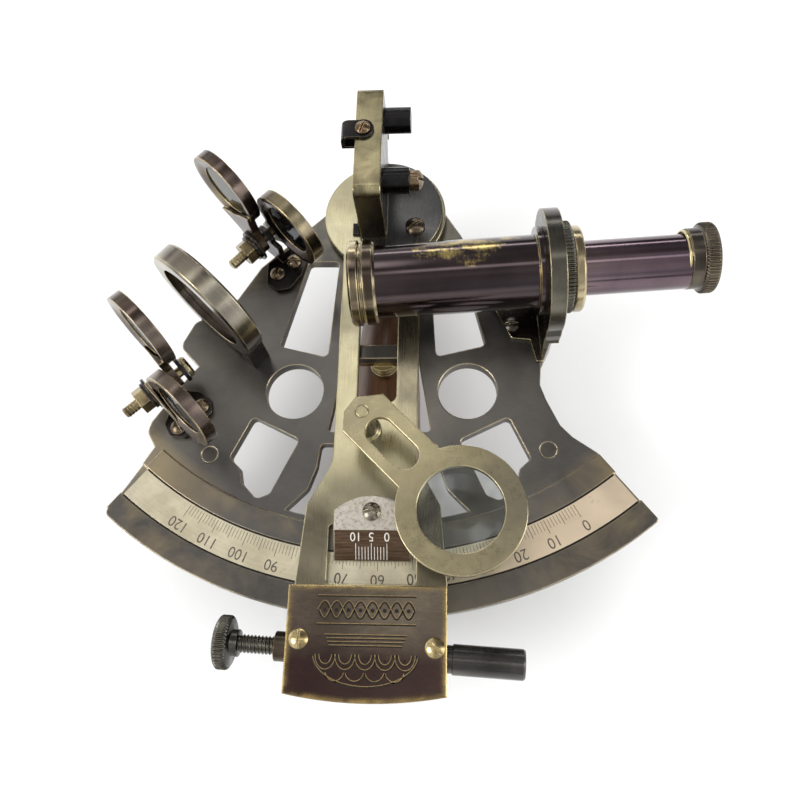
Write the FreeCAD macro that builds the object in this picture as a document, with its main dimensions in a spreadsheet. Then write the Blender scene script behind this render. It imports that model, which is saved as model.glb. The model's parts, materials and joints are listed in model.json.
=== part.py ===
import FreeCAD, Part
import Sketcher
import math
import os
from FreeCAD import Vector, Placement, Rotation, Matrix

# Nautical sextant, 127 mm arc chord.  Millimetres, +Z up.
# Origin: on the index arm's pivot axis, at the table plane under the three feet.
# +Y runs from the arc towards the apex, +X towards the eyepiece.
# Right means +X and left means -X.

doc = FreeCAD.newDocument("sextant")
sheet = doc.addObject("Spreadsheet::Sheet", "Dims")
sheet_aliases = []
pieces = []


# ---------------------------------------------------------------- sheet dimensions
class Dimension:
    """A value from the sheet, carried with the expression that reads it."""

    def __init__(self, value, expr):
        self.value = float(value)
        self.expr = expr

    def __add__(self, other):
        return Dimension(self.value + number(other),
                         "(%s + %s)" % (self.expr, expression(other)))

    __radd__ = __add__

    def __sub__(self, other):
        return Dimension(self.value - number(other),
                         "(%s - %s)" % (self.expr, expression(other)))

    def __rsub__(self, other):
        return Dimension(number(other) - self.value,
                         "(%s - %s)" % (expression(other), self.expr))

    def __truediv__(self, other):
        return Dimension(self.value / number(other),
                         "(%s / %s)" % (self.expr, expression(other)))

    def __neg__(self):
        return Dimension(-self.value, "(-1 * %s)" % self.expr)


def number(value):
    return value.value if isinstance(value, Dimension) else float(value)


def expression(value):
    return value.expr if isinstance(value, Dimension) else repr(float(value))


def dim(alias, value):
    """Enter a driving dimension in the sheet."""
    sheet_aliases.append(alias)
    row = len(sheet_aliases)
    sheet.set("A%d" % row, alias)
    sheet.set("B%d" % row, repr(float(value)))
    sheet.setAlias("B%d" % row, alias)
    return Dimension(value, "Dims." + alias)


# frame and limb
plate_thick = dim("plate_thick", 3.0)
leg_length = dim("leg_length", 27.0)
limb_outer_rad = dim("limb_outer_rad", 102.35)
limb_ledge_rad = dim("limb_ledge_rad", 82.5)
limb_ledge_height = dim("limb_ledge_height", 0.5)
scale_outer_rad = dim("scale_outer_rad", 96.1)
scale_inner_rad = dim("scale_inner_rad", 88.4)
scale_thick = dim("scale_thick", 1.0)
scale_groove = dim("scale_groove", 0.3)
window_limit_rad = dim("window_limit_rad", 81.0)
round_hole_rad = dim("round_hole_rad", 7.15)
# index arm
arm_head_rad = dim("arm_head_rad", 15.8)
arm_thick = dim("arm_thick", 2.0)
arm_gap = dim("arm_gap", 0.9)
arm_half_width = dim("arm_half_width", 9.85)
arm_offset = dim("arm_offset", -0.5)
# clearances, pivot, screws and feet
fit_gap = dim("fit_gap", 0.02)
running_gap = dim("running_gap", 0.05)
pivot_pin_rad = dim("pivot_pin_rad", 3.0)
pivot_bush_rad = dim("pivot_bush_rad", 4.5)
small_screw_rad = dim("small_screw_rad", 1.0)
foot_rad = dim("foot_rad", 3.5)
# telescope
tube_rad = dim("telescope_tube_rad", 8.5)
draw_tube_rad = dim("draw_tube_rad", 6.27)
objective_cell_rad = dim("objective_cell_rad", 9.95)
holder_ring_rad = dim("holder_ring_rad", 14.2)
telescope_height = dim("telescope_height", 47.0)
# shades and horizon mirror
shade_ring_rad = dim("shade_ring_rad", 9.9)
shade_opening_rad = dim("shade_opening_rad", 6.5)
shade_ring_width = dim("shade_ring_width", 3.0)
shade_link = dim("shade_link_length", 14.7)
long_shade_link = dim("rear_index_shade_link_length", 16.2)
shade_bolt_rad = dim("shade_bolt_rad", 1.25)
horizon_ring_rad = dim("horizon_ring_rad", 15.45)
horizon_ring_width = dim("horizon_ring_width", 5.25)
horizon_opening_rad = dim("horizon_opening_rad", 11.75)
# magnifier
magnifier_ring_rad = dim("magnifier_ring_rad", 14.0)
magnifier_opening_rad = dim("magnifier_opening_rad", 9.35)
magnifier_thick = dim("magnifier_thick", 1.6)
magnifier_height = dim("magnifier_height", 44.6)
# tangent drive, grip and index mirror
tangent_knob_rad = dim("tangent_knob_rad", 5.75)
thread_rad = dim("tangent_thread_rad", 2.0)
tangent_axis_height = dim("tangent_axis_height", 33.6)
cover_half_width = dim("cover_half_width", 16.95)
cover_thick = dim("cover_thick", 1.5)
grip_rad = dim("grip_rad", 9.0)
mirror_top = dim("mirror_top_height", 54.5)

# levels
plate_under = leg_length
plate_top = plate_under + plate_thick
limb_top = plate_top + limb_ledge_height
arm_under = plate_top + arm_gap
arm_top = arm_under + arm_thick

# holes for the small screws
close_hole = small_screw_rad + fit_gap
loose_hole = small_screw_rad + 0.05

# tools that pass right through the frame plate or the arm blade
through_length = 6.0
plate_tool_base = plate_under - 1.5
arm_tool_base = arm_under - 2.0


# ---------------------------------------------------------------- placing and solids
def vec(pos):
    return Vector(*[number(value) for value in pos])


def set_dim(obj, prop, value):
    setattr(obj, prop, number(value))
    if isinstance(value, Dimension):
        obj.setExpression(prop, value.expr)


def piece(label, obj):
    """Name a finished piece and list it for export."""
    obj.Label = label
    pieces.append(obj)


ORIGIN = (0.0, 0.0, 0.0)
NO_TURN = Rotation()


def at(obj, pos, rot=NO_TURN):
    obj.Placement = Placement(vec(pos), rot)
    for axis, value in zip("xyz", pos):
        if isinstance(value, Dimension):
            obj.setExpression("Placement.Base." + axis, value.expr)
    return obj


def axes(z_dir, y_dir=None):
    """Rotation taking local +Z to z_dir and local +Y as near as possible to y_dir."""
    z = Vector(*z_dir).normalize()
    if y_dir is None:
        return Rotation(Vector(0, 0, 1), z)
    y = Vector(*y_dir)
    y = (y - z * y.dot(z)).normalize()
    x = y.cross(z)
    matrix = Matrix(x.x, y.x, z.x, 0, x.y, y.y, z.y, 0, x.z, y.z, z.z, 0, 0, 0, 0, 1)
    return Placement(matrix).Rotation


UP = (0, 0, 1)
FACE_DOWN = Rotation(Vector(1, 0, 0), 180)
ALONG_X = axes((1, 0, 0))
IN_YZ = axes((1, 0, 0), UP)      # outline read as (y, z), thickness towards +X


def heading(deg):
    """Level unit vector, deg turned from +X towards +Y."""
    angle = math.radians(deg)
    return (math.cos(angle), math.sin(angle), 0.0)


def along(start, direction, distance):
    """Point at a distance from start; a level direction leaves z as it is."""
    return tuple(value + step * distance if step else value
                 for value, step in zip(start, direction))


def cylinder(name, radius, length, pos=ORIGIN, rot=NO_TURN, sweep=None):
    obj = doc.addObject("Part::Cylinder", name)
    set_dim(obj, "Radius", radius)
    set_dim(obj, "Height", length)
    if sweep is not None:
        obj.Angle = sweep
    return at(obj, pos, rot)


def cone(name, start_rad, end_rad, length, pos, rot):
    obj = doc.addObject("Part::Cone", name)
    set_dim(obj, "Radius1", start_rad)
    set_dim(obj, "Radius2", end_rad)
    set_dim(obj, "Height", length)
    return at(obj, pos, rot)


def block(name, size, pos=ORIGIN):
    obj = doc.addObject("Part::Box", name)
    for prop, value in zip(("Length", "Width", "Height"), size):
        set_dim(obj, prop, value)
    return at(obj, pos)


def span(name, x_range, y_range, z_range):
    """A block given by its two ends on each axis."""
    ranges = (x_range, y_range, z_range)
    return block(name, [high - low for low, high in ranges], [low for low, high in ranges])


def block_in_frame(name, size, corner, pos, rot):
    """A block whose corner is given in a frame that stands at pos and is turned by rot."""
    obj = block(name, size)
    obj.Placement = Placement(vec(pos), rot) * Placement(vec(corner), NO_TURN)
    return obj


def fuse(name, parts):
    obj = doc.addObject("Part::MultiFuse", name)
    obj.Shapes = parts
    obj.Refine = True
    return obj


def cut(name, base, tools):
    obj = doc.addObject("Part::Cut", name)
    obj.Base = base
    obj.Tool = tools[0] if len(tools) == 1 else fuse(name + "_tools", tools)
    obj.Refine = True
    return obj


def common(name, first, second):
    obj = doc.addObject("Part::MultiCommon", name)
    obj.Shapes = [first, second]
    return obj


def group(name, parts):
    obj = doc.addObject("Part::Compound", name)
    obj.Links = parts
    return obj


def drills(prefix, centres, radius, length, base):
    """Upright cylinders of one size, one at each (x, y) centre."""
    return [cylinder("%s_%d" % (prefix, i), radius, length, (x, y, base))
            for i, (x, y) in enumerate(centres)]


def band(name, outer, inner, thick, base, left_deg=None, sweep=None):
    """A flat ring about the pivot, or the part of it swept rightwards from left_deg of -Y."""
    # a cylinder sector starts on +X and opens counter-clockwise
    rot = NO_TURN if left_deg is None else Rotation(Vector(0, 0, 1), -90 - left_deg)
    return cut(name, cylinder(name + "_outer", outer, thick, (0, 0, base), rot, sweep),
               [cylinder(name + "_inner", inner, thick, (0, 0, base))])


# ---------------------------------------------------------------- sketched solids
def new_sketch(body, name, plane_role):
    sketch = body.newObject("Sketcher::SketchObject", name)
    plane = [f for f in body.Origin.OriginFeatures if f.Role == plane_role][0]
    sketch.AttachmentSupport = (plane, [""])
    sketch.MapMode = "FlatFace"
    return sketch


def bind_last(sketch, index, value):
    if isinstance(value, Dimension):
        sketch.setExpression("Constraints[%d]" % index, value.expr)


def fix_point(sketch, geo, pos, x, y):
    """Fix one sketch point by its coordinates, on an axis where a coordinate is zero."""
    for value, kind, axis in ((x, "DistanceX", -2), (y, "DistanceY", -1)):
        if abs(number(value)) < 1e-9:
            sketch.addConstraint(Sketcher.Constraint("PointOnObject", geo, pos, axis))
        else:
            index = sketch.addConstraint(
                Sketcher.Constraint(kind, -1, 1, geo, pos, number(value)))
            bind_last(sketch, index, value)


def draw_polygon(sketch, points):
    count = len(points)
    for i in range(count):
        start, end = points[i], points[(i + 1) % count]
        sketch.addGeometry(Part.LineSegment(vec(start + (0,)), vec(end + (0,))), False)
    for i in range(count):
        sketch.addConstraint(Sketcher.Constraint("Coincident", i, 2, (i + 1) % count, 1))
    for i, (x, y) in enumerate(points):
        fix_point(sketch, i, 1, x, y)


def draw_circle(sketch, x, y, radius):
    circle = Part.Circle(vec((x, y, 0)), Vector(0, 0, 1), number(radius))
    geo = sketch.addGeometry(circle, False)
    fix_point(sketch, geo, 3, x, y)
    index = sketch.addConstraint(Sketcher.Constraint("Radius", geo, number(radius)))
    bind_last(sketch, index, radius)


def turned(name, profile, pos=ORIGIN, rot=NO_TURN):
    """A turned solid: (radius, station) profile revolved about local Z."""
    body = doc.addObject("PartDesign::Body", name)
    sketch = new_sketch(body, name + "_profile", "XZ_Plane")
    draw_polygon(sketch, profile)
    doc.recompute()
    revolution = body.newObject("PartDesign::Revolution", name + "_turn")
    revolution.Profile = sketch
    revolution.ReferenceAxis = (sketch, ["V_Axis"])
    revolution.Angle = 360.0
    body.Tip = revolution
    return at(body, pos, rot)


def corner_edges(shape, corners):
    """Names of the straight edges that stand on the outline's given corners."""
    names = []
    for i, edge in enumerate(shape.Edges):
        if len(edge.Vertexes) != 2:
            continue
        start, end = [vertex.Point for vertex in edge.Vertexes]
        if abs(start.x - end.x) < 1e-6 and abs(start.y - end.y) < 1e-6:
            if any(abs(start.x - number(x)) < 0.02 and abs(start.y - number(y)) < 0.02
                   for x, y in corners):
                names.append("Edge%d" % (i + 1))
    return names


def padded(name, outline, thick, pos=ORIGIN, rot=NO_TURN, holes=(), fillets=()):
    """A flat solid: (x, y) outline padded along local Z.

    holes lists (x, y, radius); fillets lists (radius, corner points).
    """
    body = doc.addObject("PartDesign::Body", name)
    sketch = new_sketch(body, name + "_outline", "XY_Plane")
    draw_polygon(sketch, outline)
    for x, y, radius in holes:
        draw_circle(sketch, x, y, radius)
    pad = body.newObject("PartDesign::Pad", name + "_pad")
    pad.Profile = sketch
    set_dim(pad, "Length", thick)
    body.Tip = pad
    doc.recompute()
    for i, (radius, corners) in enumerate(fillets):
        base = body.Tip
        names = corner_edges(base.Shape, corners)
        if not names:
            raise RuntimeError("no corner to round on " + name)
        fillet = body.newObject("PartDesign::Fillet", "%s_round%d" % (name, i))
        fillet.Base = (base, names)
        set_dim(fillet, "Radius", radius)
        body.Tip = fillet
        doc.recompute()
    return at(body, pos, rot)


def rectangle(x_range, y_range):
    (x_start, x_end), (y_start, y_end) = x_range, y_range
    return [(x_start, y_start), (x_end, y_start), (x_end, y_end), (x_start, y_end)]


def mirrored(half, centre=0.0):
    """Close an outline: (distance from the centre line, y) points, then their mirror image."""
    return ([(centre + x, y) for x, y in half] + [(centre - x, y) for x, y in reversed(half)])


# ---------------------------------------------------------------- fasteners
def domed_screw(name, pos, head, shank, slot, rot=NO_TURN, turn=0.0):
    """A slotted screw: domed head above local Z = 0, shank below.

    head is (radius, height), shank (radius, length), slot (width, depth).
    """
    head_rad, head_height = head
    shank_rad, shank_length = shank
    slot_width, slot_depth = slot
    # flatter than the sphere through the rim, so that a short upright rim is left
    dome_rad = (head_rad ** 2 + head_height ** 2) / (2 * head_height) * 1.35
    dome = doc.addObject("Part::Sphere", name + "_dome")
    dome.Radius = dome_rad
    at(dome, (0, 0, head_height - dome_rad))
    solid = fuse(name + "_solid", [
        common(name + "_head", cylinder(name + "_blank", head_rad, head_height), dome),
        cylinder(name + "_shank", shank_rad, shank_length + 0.2, (0, 0, -shank_length))])
    slot_length = head_rad * 2.4
    slot_tool = block_in_frame(
        name + "_slot", (slot_length, slot_width, slot_depth + 1.0),
        corner=(-slot_length / 2, -slot_width / 2, 0),
        pos=(0, 0, head_height - slot_depth), rot=Rotation(Vector(0, 0, 1), turn))
    return at(cut(name, solid, [slot_tool]), pos, rot)


def hexagon(name, across, length, pos, hole_rad, rot=NO_TURN):
    corner_rad = across / 2.0 / math.cos(math.radians(30))
    angles = [math.radians(60 * k + 30) for k in range(6)]
    outline = [(corner_rad * math.cos(a), corner_rad * math.sin(a)) for a in angles]
    return padded(name, outline, length, pos, rot, holes=[(0.0, 0.0, hole_rad)])


def washer(name, hole_rad, outer_rad, thick, pos, rot=NO_TURN):
    profile = [(hole_rad, 0.0), (outer_rad, 0.0), (outer_rad, thick), (hole_rad, thick)]
    return turned(name, profile, pos, rot)


# ---------------------------------------------------------------- frame plate
# (x, y) places on the frame
feet_xy = [(-52.6, -71.5), (52.6, -71.5)]
rivets_xy = [(-40.9, -64.8), (40.0, -63.4)]
horizon_post_xy = (-31.6, -39.1)
index_bracket_xy = [(-23.5, -12.9), (-27.6, -16.5)]
horizon_bracket_xy = [(-43.7, -53.0), (-48.8, -58.4)]
scope_bracket_xy = [(32.3, -31.4), (27.6, -24.0)]
cap_screw_circle = 9.4
cap_screws_xy = [(cap_screw_circle * math.cos(math.radians(a)),
                  cap_screw_circle * math.sin(math.radians(a))) for a in (90, 210, 330)]
# grip pillars: y, half length and width of the foot, screw distance from the middle
grip_pillars = [(-37.95, 9.6, 3.6, 7.2), (-60.5, 11.6, 2.9, 9.0)]
pillar_screws_xy = [(side * screw_x, y) for y, _, _, screw_x in grip_pillars
                    for side in (-1, 1)]

foot_spigot_rad = 1.48
rivet_shank_rad = 1.98

# limb ends, degrees either side of -Y
limb_left_deg = 39.5
limb_right_deg = 38.7

# (x, y) outline, clockwise from the right of the apex; the limb disc trims its lower edge
frame_outline = [
    (14.6, 3.5), (19.8, -4.9), (22.1, -9.8), (39.2, -40.4), (38.7, -47.0), (40.0, -50.8),
    (43.0, -57.2), (45.7, -60.1), (51.3, -64.0), (71.9, -89.75), (40.0, -113.0), (0.0, -120.0),
    (-40.0, -113.0), (-71.4, -90.1), (-57.3, -67.4), (-54.7, -62.9), (-57.0, -59.1),
    (-56.3, -56.5), (-48.6, -44.8), (-46.1, -41.8), (-51.5, -36.3), (-48.3, -29.5),
    (-45.3, -28.1), (-37.9, -23.0), (-32.4, -13.7), (-14.6, 3.5)]
frame_fillets = [(2.5, [(45.7, -60.1), (-48.3, -29.5), (-51.5, -36.3), (-57.0, -59.1)]),
                 (1.2, [(43.0, -57.2), (40.0, -50.8)])]

# right-hand (x, y) outlines of the paired windows
upper_window = [(11.8, -12.2), (19.7, -12.1), (25.8, -36.4), (13.5, -39.4)]
lower_window = [(19.2, -60.9), (31.0, -55.1), (35.9, -65.5), (33.2, -68.0), (32.5, -71.5),
                (28.6, -75.6), (25.4, -74.3)]
round_window_xy = (21.2, -48.5)

# outlines of the windows on the centre line
centre_top = mirrored([(6.2, -20.0), (8.7, -36.1)])
centre_mid = mirrored([(9.1, -39.8), (12.5, -59.0)])
centre_low = mirrored([(13.9, -62.0), (14.6, -67.7), (16.4, -73.0), (21.6, -78.2), (19.6, -84.0)])


def window(name, outline, fillets):
    return padded(name, outline, through_length, (0, 0, plate_tool_base), fillets=fillets)


def frame_windows():
    windows = []
    for side, tag in ((1, "right"), (-1, "left")):
        upper = [(side * x, y) for x, y in upper_window]
        lower = [(side * x, y) for x, y in lower_window]
        windows.append(window("upper_window_" + tag, upper, [(1.2, upper)]))
        windows.append(window("lower_window_" + tag, lower,
                              [(1.2, lower[0:3]), (1.0, lower[3:4]), (1.6, lower[5:7])]))
        windows.append(cylinder("round_window_" + tag, round_hole_rad, through_length,
                                (side * round_window_xy[0], round_window_xy[1],
                                 plate_tool_base)))
    windows.append(window("centre_window_top", centre_top, [(1.0, centre_top)]))
    windows.append(window("centre_window_mid", centre_mid, [(1.0, centre_mid)]))
    low = window("centre_window_low", centre_low,
                 [(1.0, [centre_low[0], centre_low[9]]),
                  (3.0, centre_low[1:3] + centre_low[7:9])])
    limit = cylinder("window_limit", window_limit_rad, through_length, (0, 0, plate_tool_base))
    windows.append(common("centre_window_low_trim", low, limit))
    return windows


def corner_tool(name, corner, edge_a, edge_b, radius):
    """What rounding a corner removes; edge_a and edge_b are unit vectors along its edges."""
    half_angle = math.acos(edge_a[0] * edge_b[0] + edge_a[1] * edge_b[1]) / 2.0
    run_in = radius / math.tan(half_angle)
    middle = (edge_a[0] + edge_b[0], edge_a[1] + edge_b[1])
    length = math.hypot(*middle)
    middle = (middle[0] / length, middle[1] / length)
    centre = along(corner, middle, radius / math.sin(half_angle))
    start = along(corner, edge_a, run_in)
    end = along(corner, edge_b, run_in)
    start_angle = math.atan2(start[1] - centre[1], start[0] - centre[0])
    end_angle = math.atan2(end[1] - centre[1], end[0] - centre[0])
    sweep = (end_angle - start_angle + math.pi) % (2 * math.pi) - math.pi
    angles = [start_angle + sweep * i / 5.0 for i in range(6)]
    arc = [(centre[0] + radius * math.cos(a), centre[1] + radius * math.sin(a)) for a in angles]
    # two points beyond the corner close the tool outside the metal
    outside = [along(along(point, middle, -2.5), edge, 0.3)
               for point, edge in ((end, edge_b), (start, edge_a))]
    return padded(name, arc + outside, 8.0, (0, 0, plate_under - 2.0))


def limb_corners():
    return [corner_tool("limb_corner_left", (-64.70, -79.31), (0.5277, 0.8496),
                        (0.775, -0.632), 1.8),
            corner_tool("limb_corner_right", (64.0, -79.87), (-0.6247, 0.7808),
                        (-0.780, -0.625), 0.9)]


def frame_holes():
    holes = [cylinder("bush_hole", pivot_bush_rad + fit_gap, through_length,
                      (0, 0, plate_tool_base))]
    blind_base = plate_under - 1.0
    holes += drills("foot_hole", feet_xy, foot_spigot_rad + fit_gap, 2.75, blind_base)
    holes += drills("rivet_hole", rivets_xy, rivet_shank_rad + fit_gap, through_length,
                    plate_tool_base)
    holes += drills("back_hole", cap_screws_xy + pillar_screws_xy, close_hole, 3.6, blind_base)
    holes += drills("post_hole", [horizon_post_xy], close_hole, through_length,
                    plate_tool_base)
    holes += drills("bracket_hole", index_bracket_xy + horizon_bracket_xy + scope_bracket_xy,
                    close_hole, through_length, plate_tool_base)
    return holes


def make_frame_plate():
    web = padded("frame_outline", frame_outline, plate_thick, (0, 0, plate_under),
                 fillets=frame_fillets)
    limb_disc = cylinder("limb_disc", limb_outer_rad, plate_thick, (0, 0, plate_under))
    blank = common("frame_blank", web, limb_disc)
    hub = cylinder("apex_hub", 15.0, plate_thick, (0, 0, plate_under))
    ledge = band("limb_ledge", limb_outer_rad, limb_ledge_rad, limb_ledge_height, plate_top,
                 limb_left_deg, limb_left_deg + limb_right_deg)
    windows = frame_windows()
    recess = band("scale_recess", scale_outer_rad + scale_groove,
                  scale_inner_rad - scale_groove, 4.0, limb_top - scale_thick)
    solid = fuse("frame_solid", [blank, hub, ledge])
    tools = windows + limb_corners() + [recess] + frame_holes()
    piece("frame_plate", cut("frame_body", solid, tools))


def make_arc_scale():
    """Silver scale let into the limb, its top level with the limb's."""
    piece("arc_scale", band("scale_ring", scale_outer_rad, scale_inner_rad, scale_thick,
                            limb_top - scale_thick, left_deg=39.0, sweep=77.3))


# ---------------------------------------------------------------- feet and pivot
# profiles are (radius, height above the table)
foot_toe = [(0.0, 0.0), (2.8, 0.0), (foot_rad, 0.9), (foot_rad, 2.6)]
foot_profile = foot_toe + [
    (2.3, 4.0), (2.0, 8.0), (2.4, 16.0), (2.9, 21.5), (3.2, 23.0), (3.2, 25.4), (3.6, 25.6),
    (3.6, leg_length), (foot_spigot_rad, leg_length), (foot_spigot_rad, leg_length + 1.7),
    (0.0, leg_length + 1.7)]
rivet_profile = [
    (0.0, 25.6), (2.2, 25.6), (3.0, 26.2), (3.0, leg_length), (rivet_shank_rad, leg_length),
    (rivet_shank_rad, plate_top), (0.0, plate_top)]
cap_profile = foot_toe + [
    (2.6, 4.0), (3.4, 8.5), (7.9, 11.0), (7.9, 23.6), (11.6, 24.0), (11.6, leg_length),
    (6.6, leg_length), (6.6, 14.0), (0.0, 14.0)]
bush_bore = pivot_pin_rad + 0.04
bush_profile = [
    (bush_bore, 24.4), (pivot_bush_rad, 24.4), (pivot_bush_rad, plate_top), (6.4, plate_top),
    (6.4, arm_under - 0.03), (bush_bore, arm_under - 0.03)]
pin_head_rad = 4.6
pin_head_base = arm_under + 0.6
pin_profile = [
    (0.0, 18.6), (2.6, 18.6), (pivot_pin_rad, 19.0), (pivot_pin_rad, pin_head_base),
    (pin_head_rad, pin_head_base), (pin_head_rad, arm_top), (0.0, arm_top)]
cap_seat_base = 23.0
cap_seat_depth = 1.55


def make_front_feet():
    feet = [turned("foot_%d" % i, foot_profile, (x, y, 0)) for i, (x, y) in enumerate(feet_xy)]
    rivets = [turned("rivet_%d" % i, rivet_profile, (x, y, 0))
              for i, (x, y) in enumerate(rivets_xy)]
    piece("front_feet", group("feet", feet + rivets))


def make_pivot_cap():
    """Hollow cap under the apex, which is also the third foot."""
    tools = drills("cap_hole", cap_screws_xy, loose_hole, 6.0, 22.5)
    tools += drills("cap_seat", cap_screws_xy, 2.05, cap_seat_depth, cap_seat_base)
    piece("pivot_cap", cut("cap", turned("cap_turned", cap_profile), tools))


def make_pivot():
    piece("pivot_bush", turned("bush", bush_profile))
    piece("pivot_pin", turned("pin", pin_profile))
    hole = pivot_pin_rad + fit_gap
    nut = hexagon("pivot_nut_hex", 9.6, 3.2, (0, 0, 20.4), hole)
    nut_washer = washer("pivot_washer", hole, 5.6, 0.7, (0, 0, 23.65))
    piece("pivot_nut", group("pivot_nut_pair", [nut, nut_washer]))


# ---------------------------------------------------------------- grip
grip_axis_height = 11.0
# (radius, y) along the wooden grip
grip_profile = [
    (0.0, -80.5), (5.2, -80.5), (6.6, -79.3), (7.6, -74.0), (8.6, -64.0), (grip_rad, -52.0),
    (8.8, -42.0), (8.1, -30.0), (7.3, -21.0), (6.4, -16.2), (5.2, -15.0), (0.0, -15.0)]
# (radius, height) of a pillar
pillar_profile = [(0.0, 12.05), (2.5, 12.05), (2.5, 20.6), (3.6, 21.0), (3.6, 22.4),
                  (2.9, 23.0), (3.3, 25.2), (0.0, 25.2)]
pillar_foot_base = 25.0


def make_handle_grip():
    body = turned("grip_turned", grip_profile, (0, 0, grip_axis_height), axes((0, 1, 0)))
    tools = []
    for i, (y, _, _, _) in enumerate(grip_pillars):
        tools += [cylinder("grip_socket_%d" % i, 2.52, 30.0, (0, y, 12.0)),
                  cylinder("grip_bore_%d" % i, 1.55, 30.0, (0, y, -5.0)),
                  cylinder("grip_seat_%d" % i, 3.05, 10.08, (0, y, -5.6))]
    piece("handle_grip", cut("grip", body, tools))


def make_handle_pillars():
    """Two brass pillars that hold the grip under the frame's crossbars."""
    pillars = []
    for i, (y, half_length, width, screw_x) in enumerate(grip_pillars):
        foot = block("pillar_foot_%d" % i, (2 * half_length, width, 2.0),
                     (-half_length, y - width / 2, pillar_foot_base))
        post = turned("pillar_post_%d" % i, pillar_profile, (0, y, 0))
        solid = fuse("pillar_solid_%d" % i, [foot, post])
        tools = [cylinder("pillar_tap_%d" % i, 1.52, 6.0, (0, y, 11.0))]
        tools += drills("pillar_hole_%d" % i, [(-screw_x, y), (screw_x, y)],
                        loose_hole, 6.0, 22.0)
        pillars.append(cut("pillar_%d" % i, solid, tools))
    piece("handle_pillars", group("pillars", pillars))


def make_handle_screws():
    screws = [domed_screw("grip_screw_%d" % i, (0, y, 4.45), head=(2.9, 1.3),
                          shank=(1.5, 10.4), slot=(0.6, 0.6), rot=FACE_DOWN)
              for i, (y, _, _, _) in enumerate(grip_pillars)]
    piece("handle_screws", group("grip_screws", screws))


def back_screw(name, x, y, z, head_rad, shank_length, turn):
    """A screw driven upwards into the back of the frame."""
    return domed_screw(name, (x, y, z), head=(head_rad, 1.3),
                       shank=(small_screw_rad, shank_length), slot=(0.5, 0.5),
                       rot=FACE_DOWN, turn=turn)


def make_frame_back_screws():
    screws = [back_screw("cap_screw_%d" % i, x, y, cap_seat_base + cap_seat_depth,
                         1.9, 4.4, 25.0 * i) for i, (x, y) in enumerate(cap_screws_xy)]
    screws += [back_screw("pillar_screw_%d" % i, x, y, pillar_foot_base, 1.7, 4.4, 40.0 * i)
               for i, (x, y) in enumerate(pillar_screws_xy)]
    screws.append(back_screw("post_screw", *horizon_post_xy, plate_under, 1.9, 5.4, 10.0))
    piece("frame_back_screws", group("back_screws", screws))


# ---------------------------------------------------------------- shades
# Each set hangs on one level bolt.  origin is the bolt's middle, in its bracket's ear;
# heading is the bolt's direction; stations are distances along it from the origin.
# ear_web is the ear's extent across the bolt; base is the bracket's (x, y) outline.
# Of a ring: lean swings it about the bolt, link is the distance from bolt to disc centre,
# shift moves the disc along the bolt and tilt turns it about the ring's own x and y.
bracket_base_thick = 1.5
shade_sets = [
    dict(tag="index", origin=(-29.8, -9.0, 38.0), heading=46.7, ear_web=(-5.2, 2.9),
         base=[(-30.4, -13.4), (-24.4, -8.6), (-20.9, -10.0), (-20.3, -12.6), (-21.5, -16.8),
               (-24.2, -20.6), (-27.4, -21.2), (-30.3, -19.0)],
         screws_xy=index_bracket_xy,
         rings=[dict(key="a", lean=-31.0, station=-2.5, link=long_shade_link, shift=1.3,
                     tilt=(0.0, 0.0)),
                dict(key="b", lean=41.0, station=2.5, link=shade_link, shift=0.0,
                     tilt=(0.0, 0.0))]),
    dict(tag="horizon", origin=(-51.0, -49.3, 38.0), heading=42.0, ear_web=(-6.6, 2.9),
         base=[(-49.4, -48.6), (-45.0, -49.0), (-41.6, -51.0), (-41.0, -54.4), (-44.6, -58.4),
               (-47.0, -60.9), (-50.6, -60.7), (-52.4, -57.6), (-51.2, -53.0)],
         screws_xy=horizon_bracket_xy,
         rings=[dict(key="a", lean=-31.6, station=2.5, link=shade_link, shift=1.35,
                     tilt=(2.4, 6.4)),
                dict(key="b", lean=53.2, station=-2.5, link=long_shade_link, shift=2.09,
                     tilt=(11.0, -3.7))]),
]
shade_eye_rad = 2.9
# (radius, station from the bolt's threaded end)
shade_bolt_profile = [
    (0.0, 0.0), (0.9, 0.0), (shade_bolt_rad, 0.4), (shade_bolt_rad, 17.45), (2.7, 17.45),
    (2.7, 18.3), (2.2, 18.9), (0.0, 19.0)]
bolt_start = -11.8
bolt_slot_station = 6.6
nut_station = -7.75
# station, outer radius, thickness
shade_washer_table = [(-5.1, 3.5, 0.8), (-4.25, 4.2, 0.6), (4.6, 3.3, 1.0)]


def make_shade_bracket(shade):
    """Base plate with an upright ear for the bolt."""
    tag, base, origin = shade["tag"], shade["base"], shade["origin"]
    base_plate = padded(tag + "_bracket_base", base, bracket_base_thick, (0, 0, plate_top),
                        holes=[(x, y, loose_hole) for x, y in shade["screws_xy"]],
                        fillets=[(1.0, base)])
    web_start, web_end = shade["ear_web"]
    ear_blank = fuse(tag + "_ear_blank", [
        cylinder(tag + "_ear_eye", shade_eye_rad, 1.4, (0, 0, -0.7)),
        block(tag + "_ear_web", (web_end - web_start, 7.9, 1.4), (web_start, -7.9, -0.7))])
    ear_hole = cylinder(tag + "_ear_hole", shade_bolt_rad + fit_gap, 4.0, (0, 0, -2.0))
    ear = at(cut(tag + "_ear", ear_blank, [ear_hole]), origin,
             axes(heading(shade["heading"]), UP))
    # nothing of the bracket may reach below the top of the plate
    trim = span(tag + "_trim", (origin[0] - 15.0, origin[0] + 15.0),
                (origin[1] - 15.0, origin[1] + 15.0), (20.0, plate_top))
    solid = cut(tag + "_bracket_solid", fuse(tag + "_bracket_fuse", [base_plate, ear]), [trim])
    piece(tag + "_shade_bracket", solid)


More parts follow.
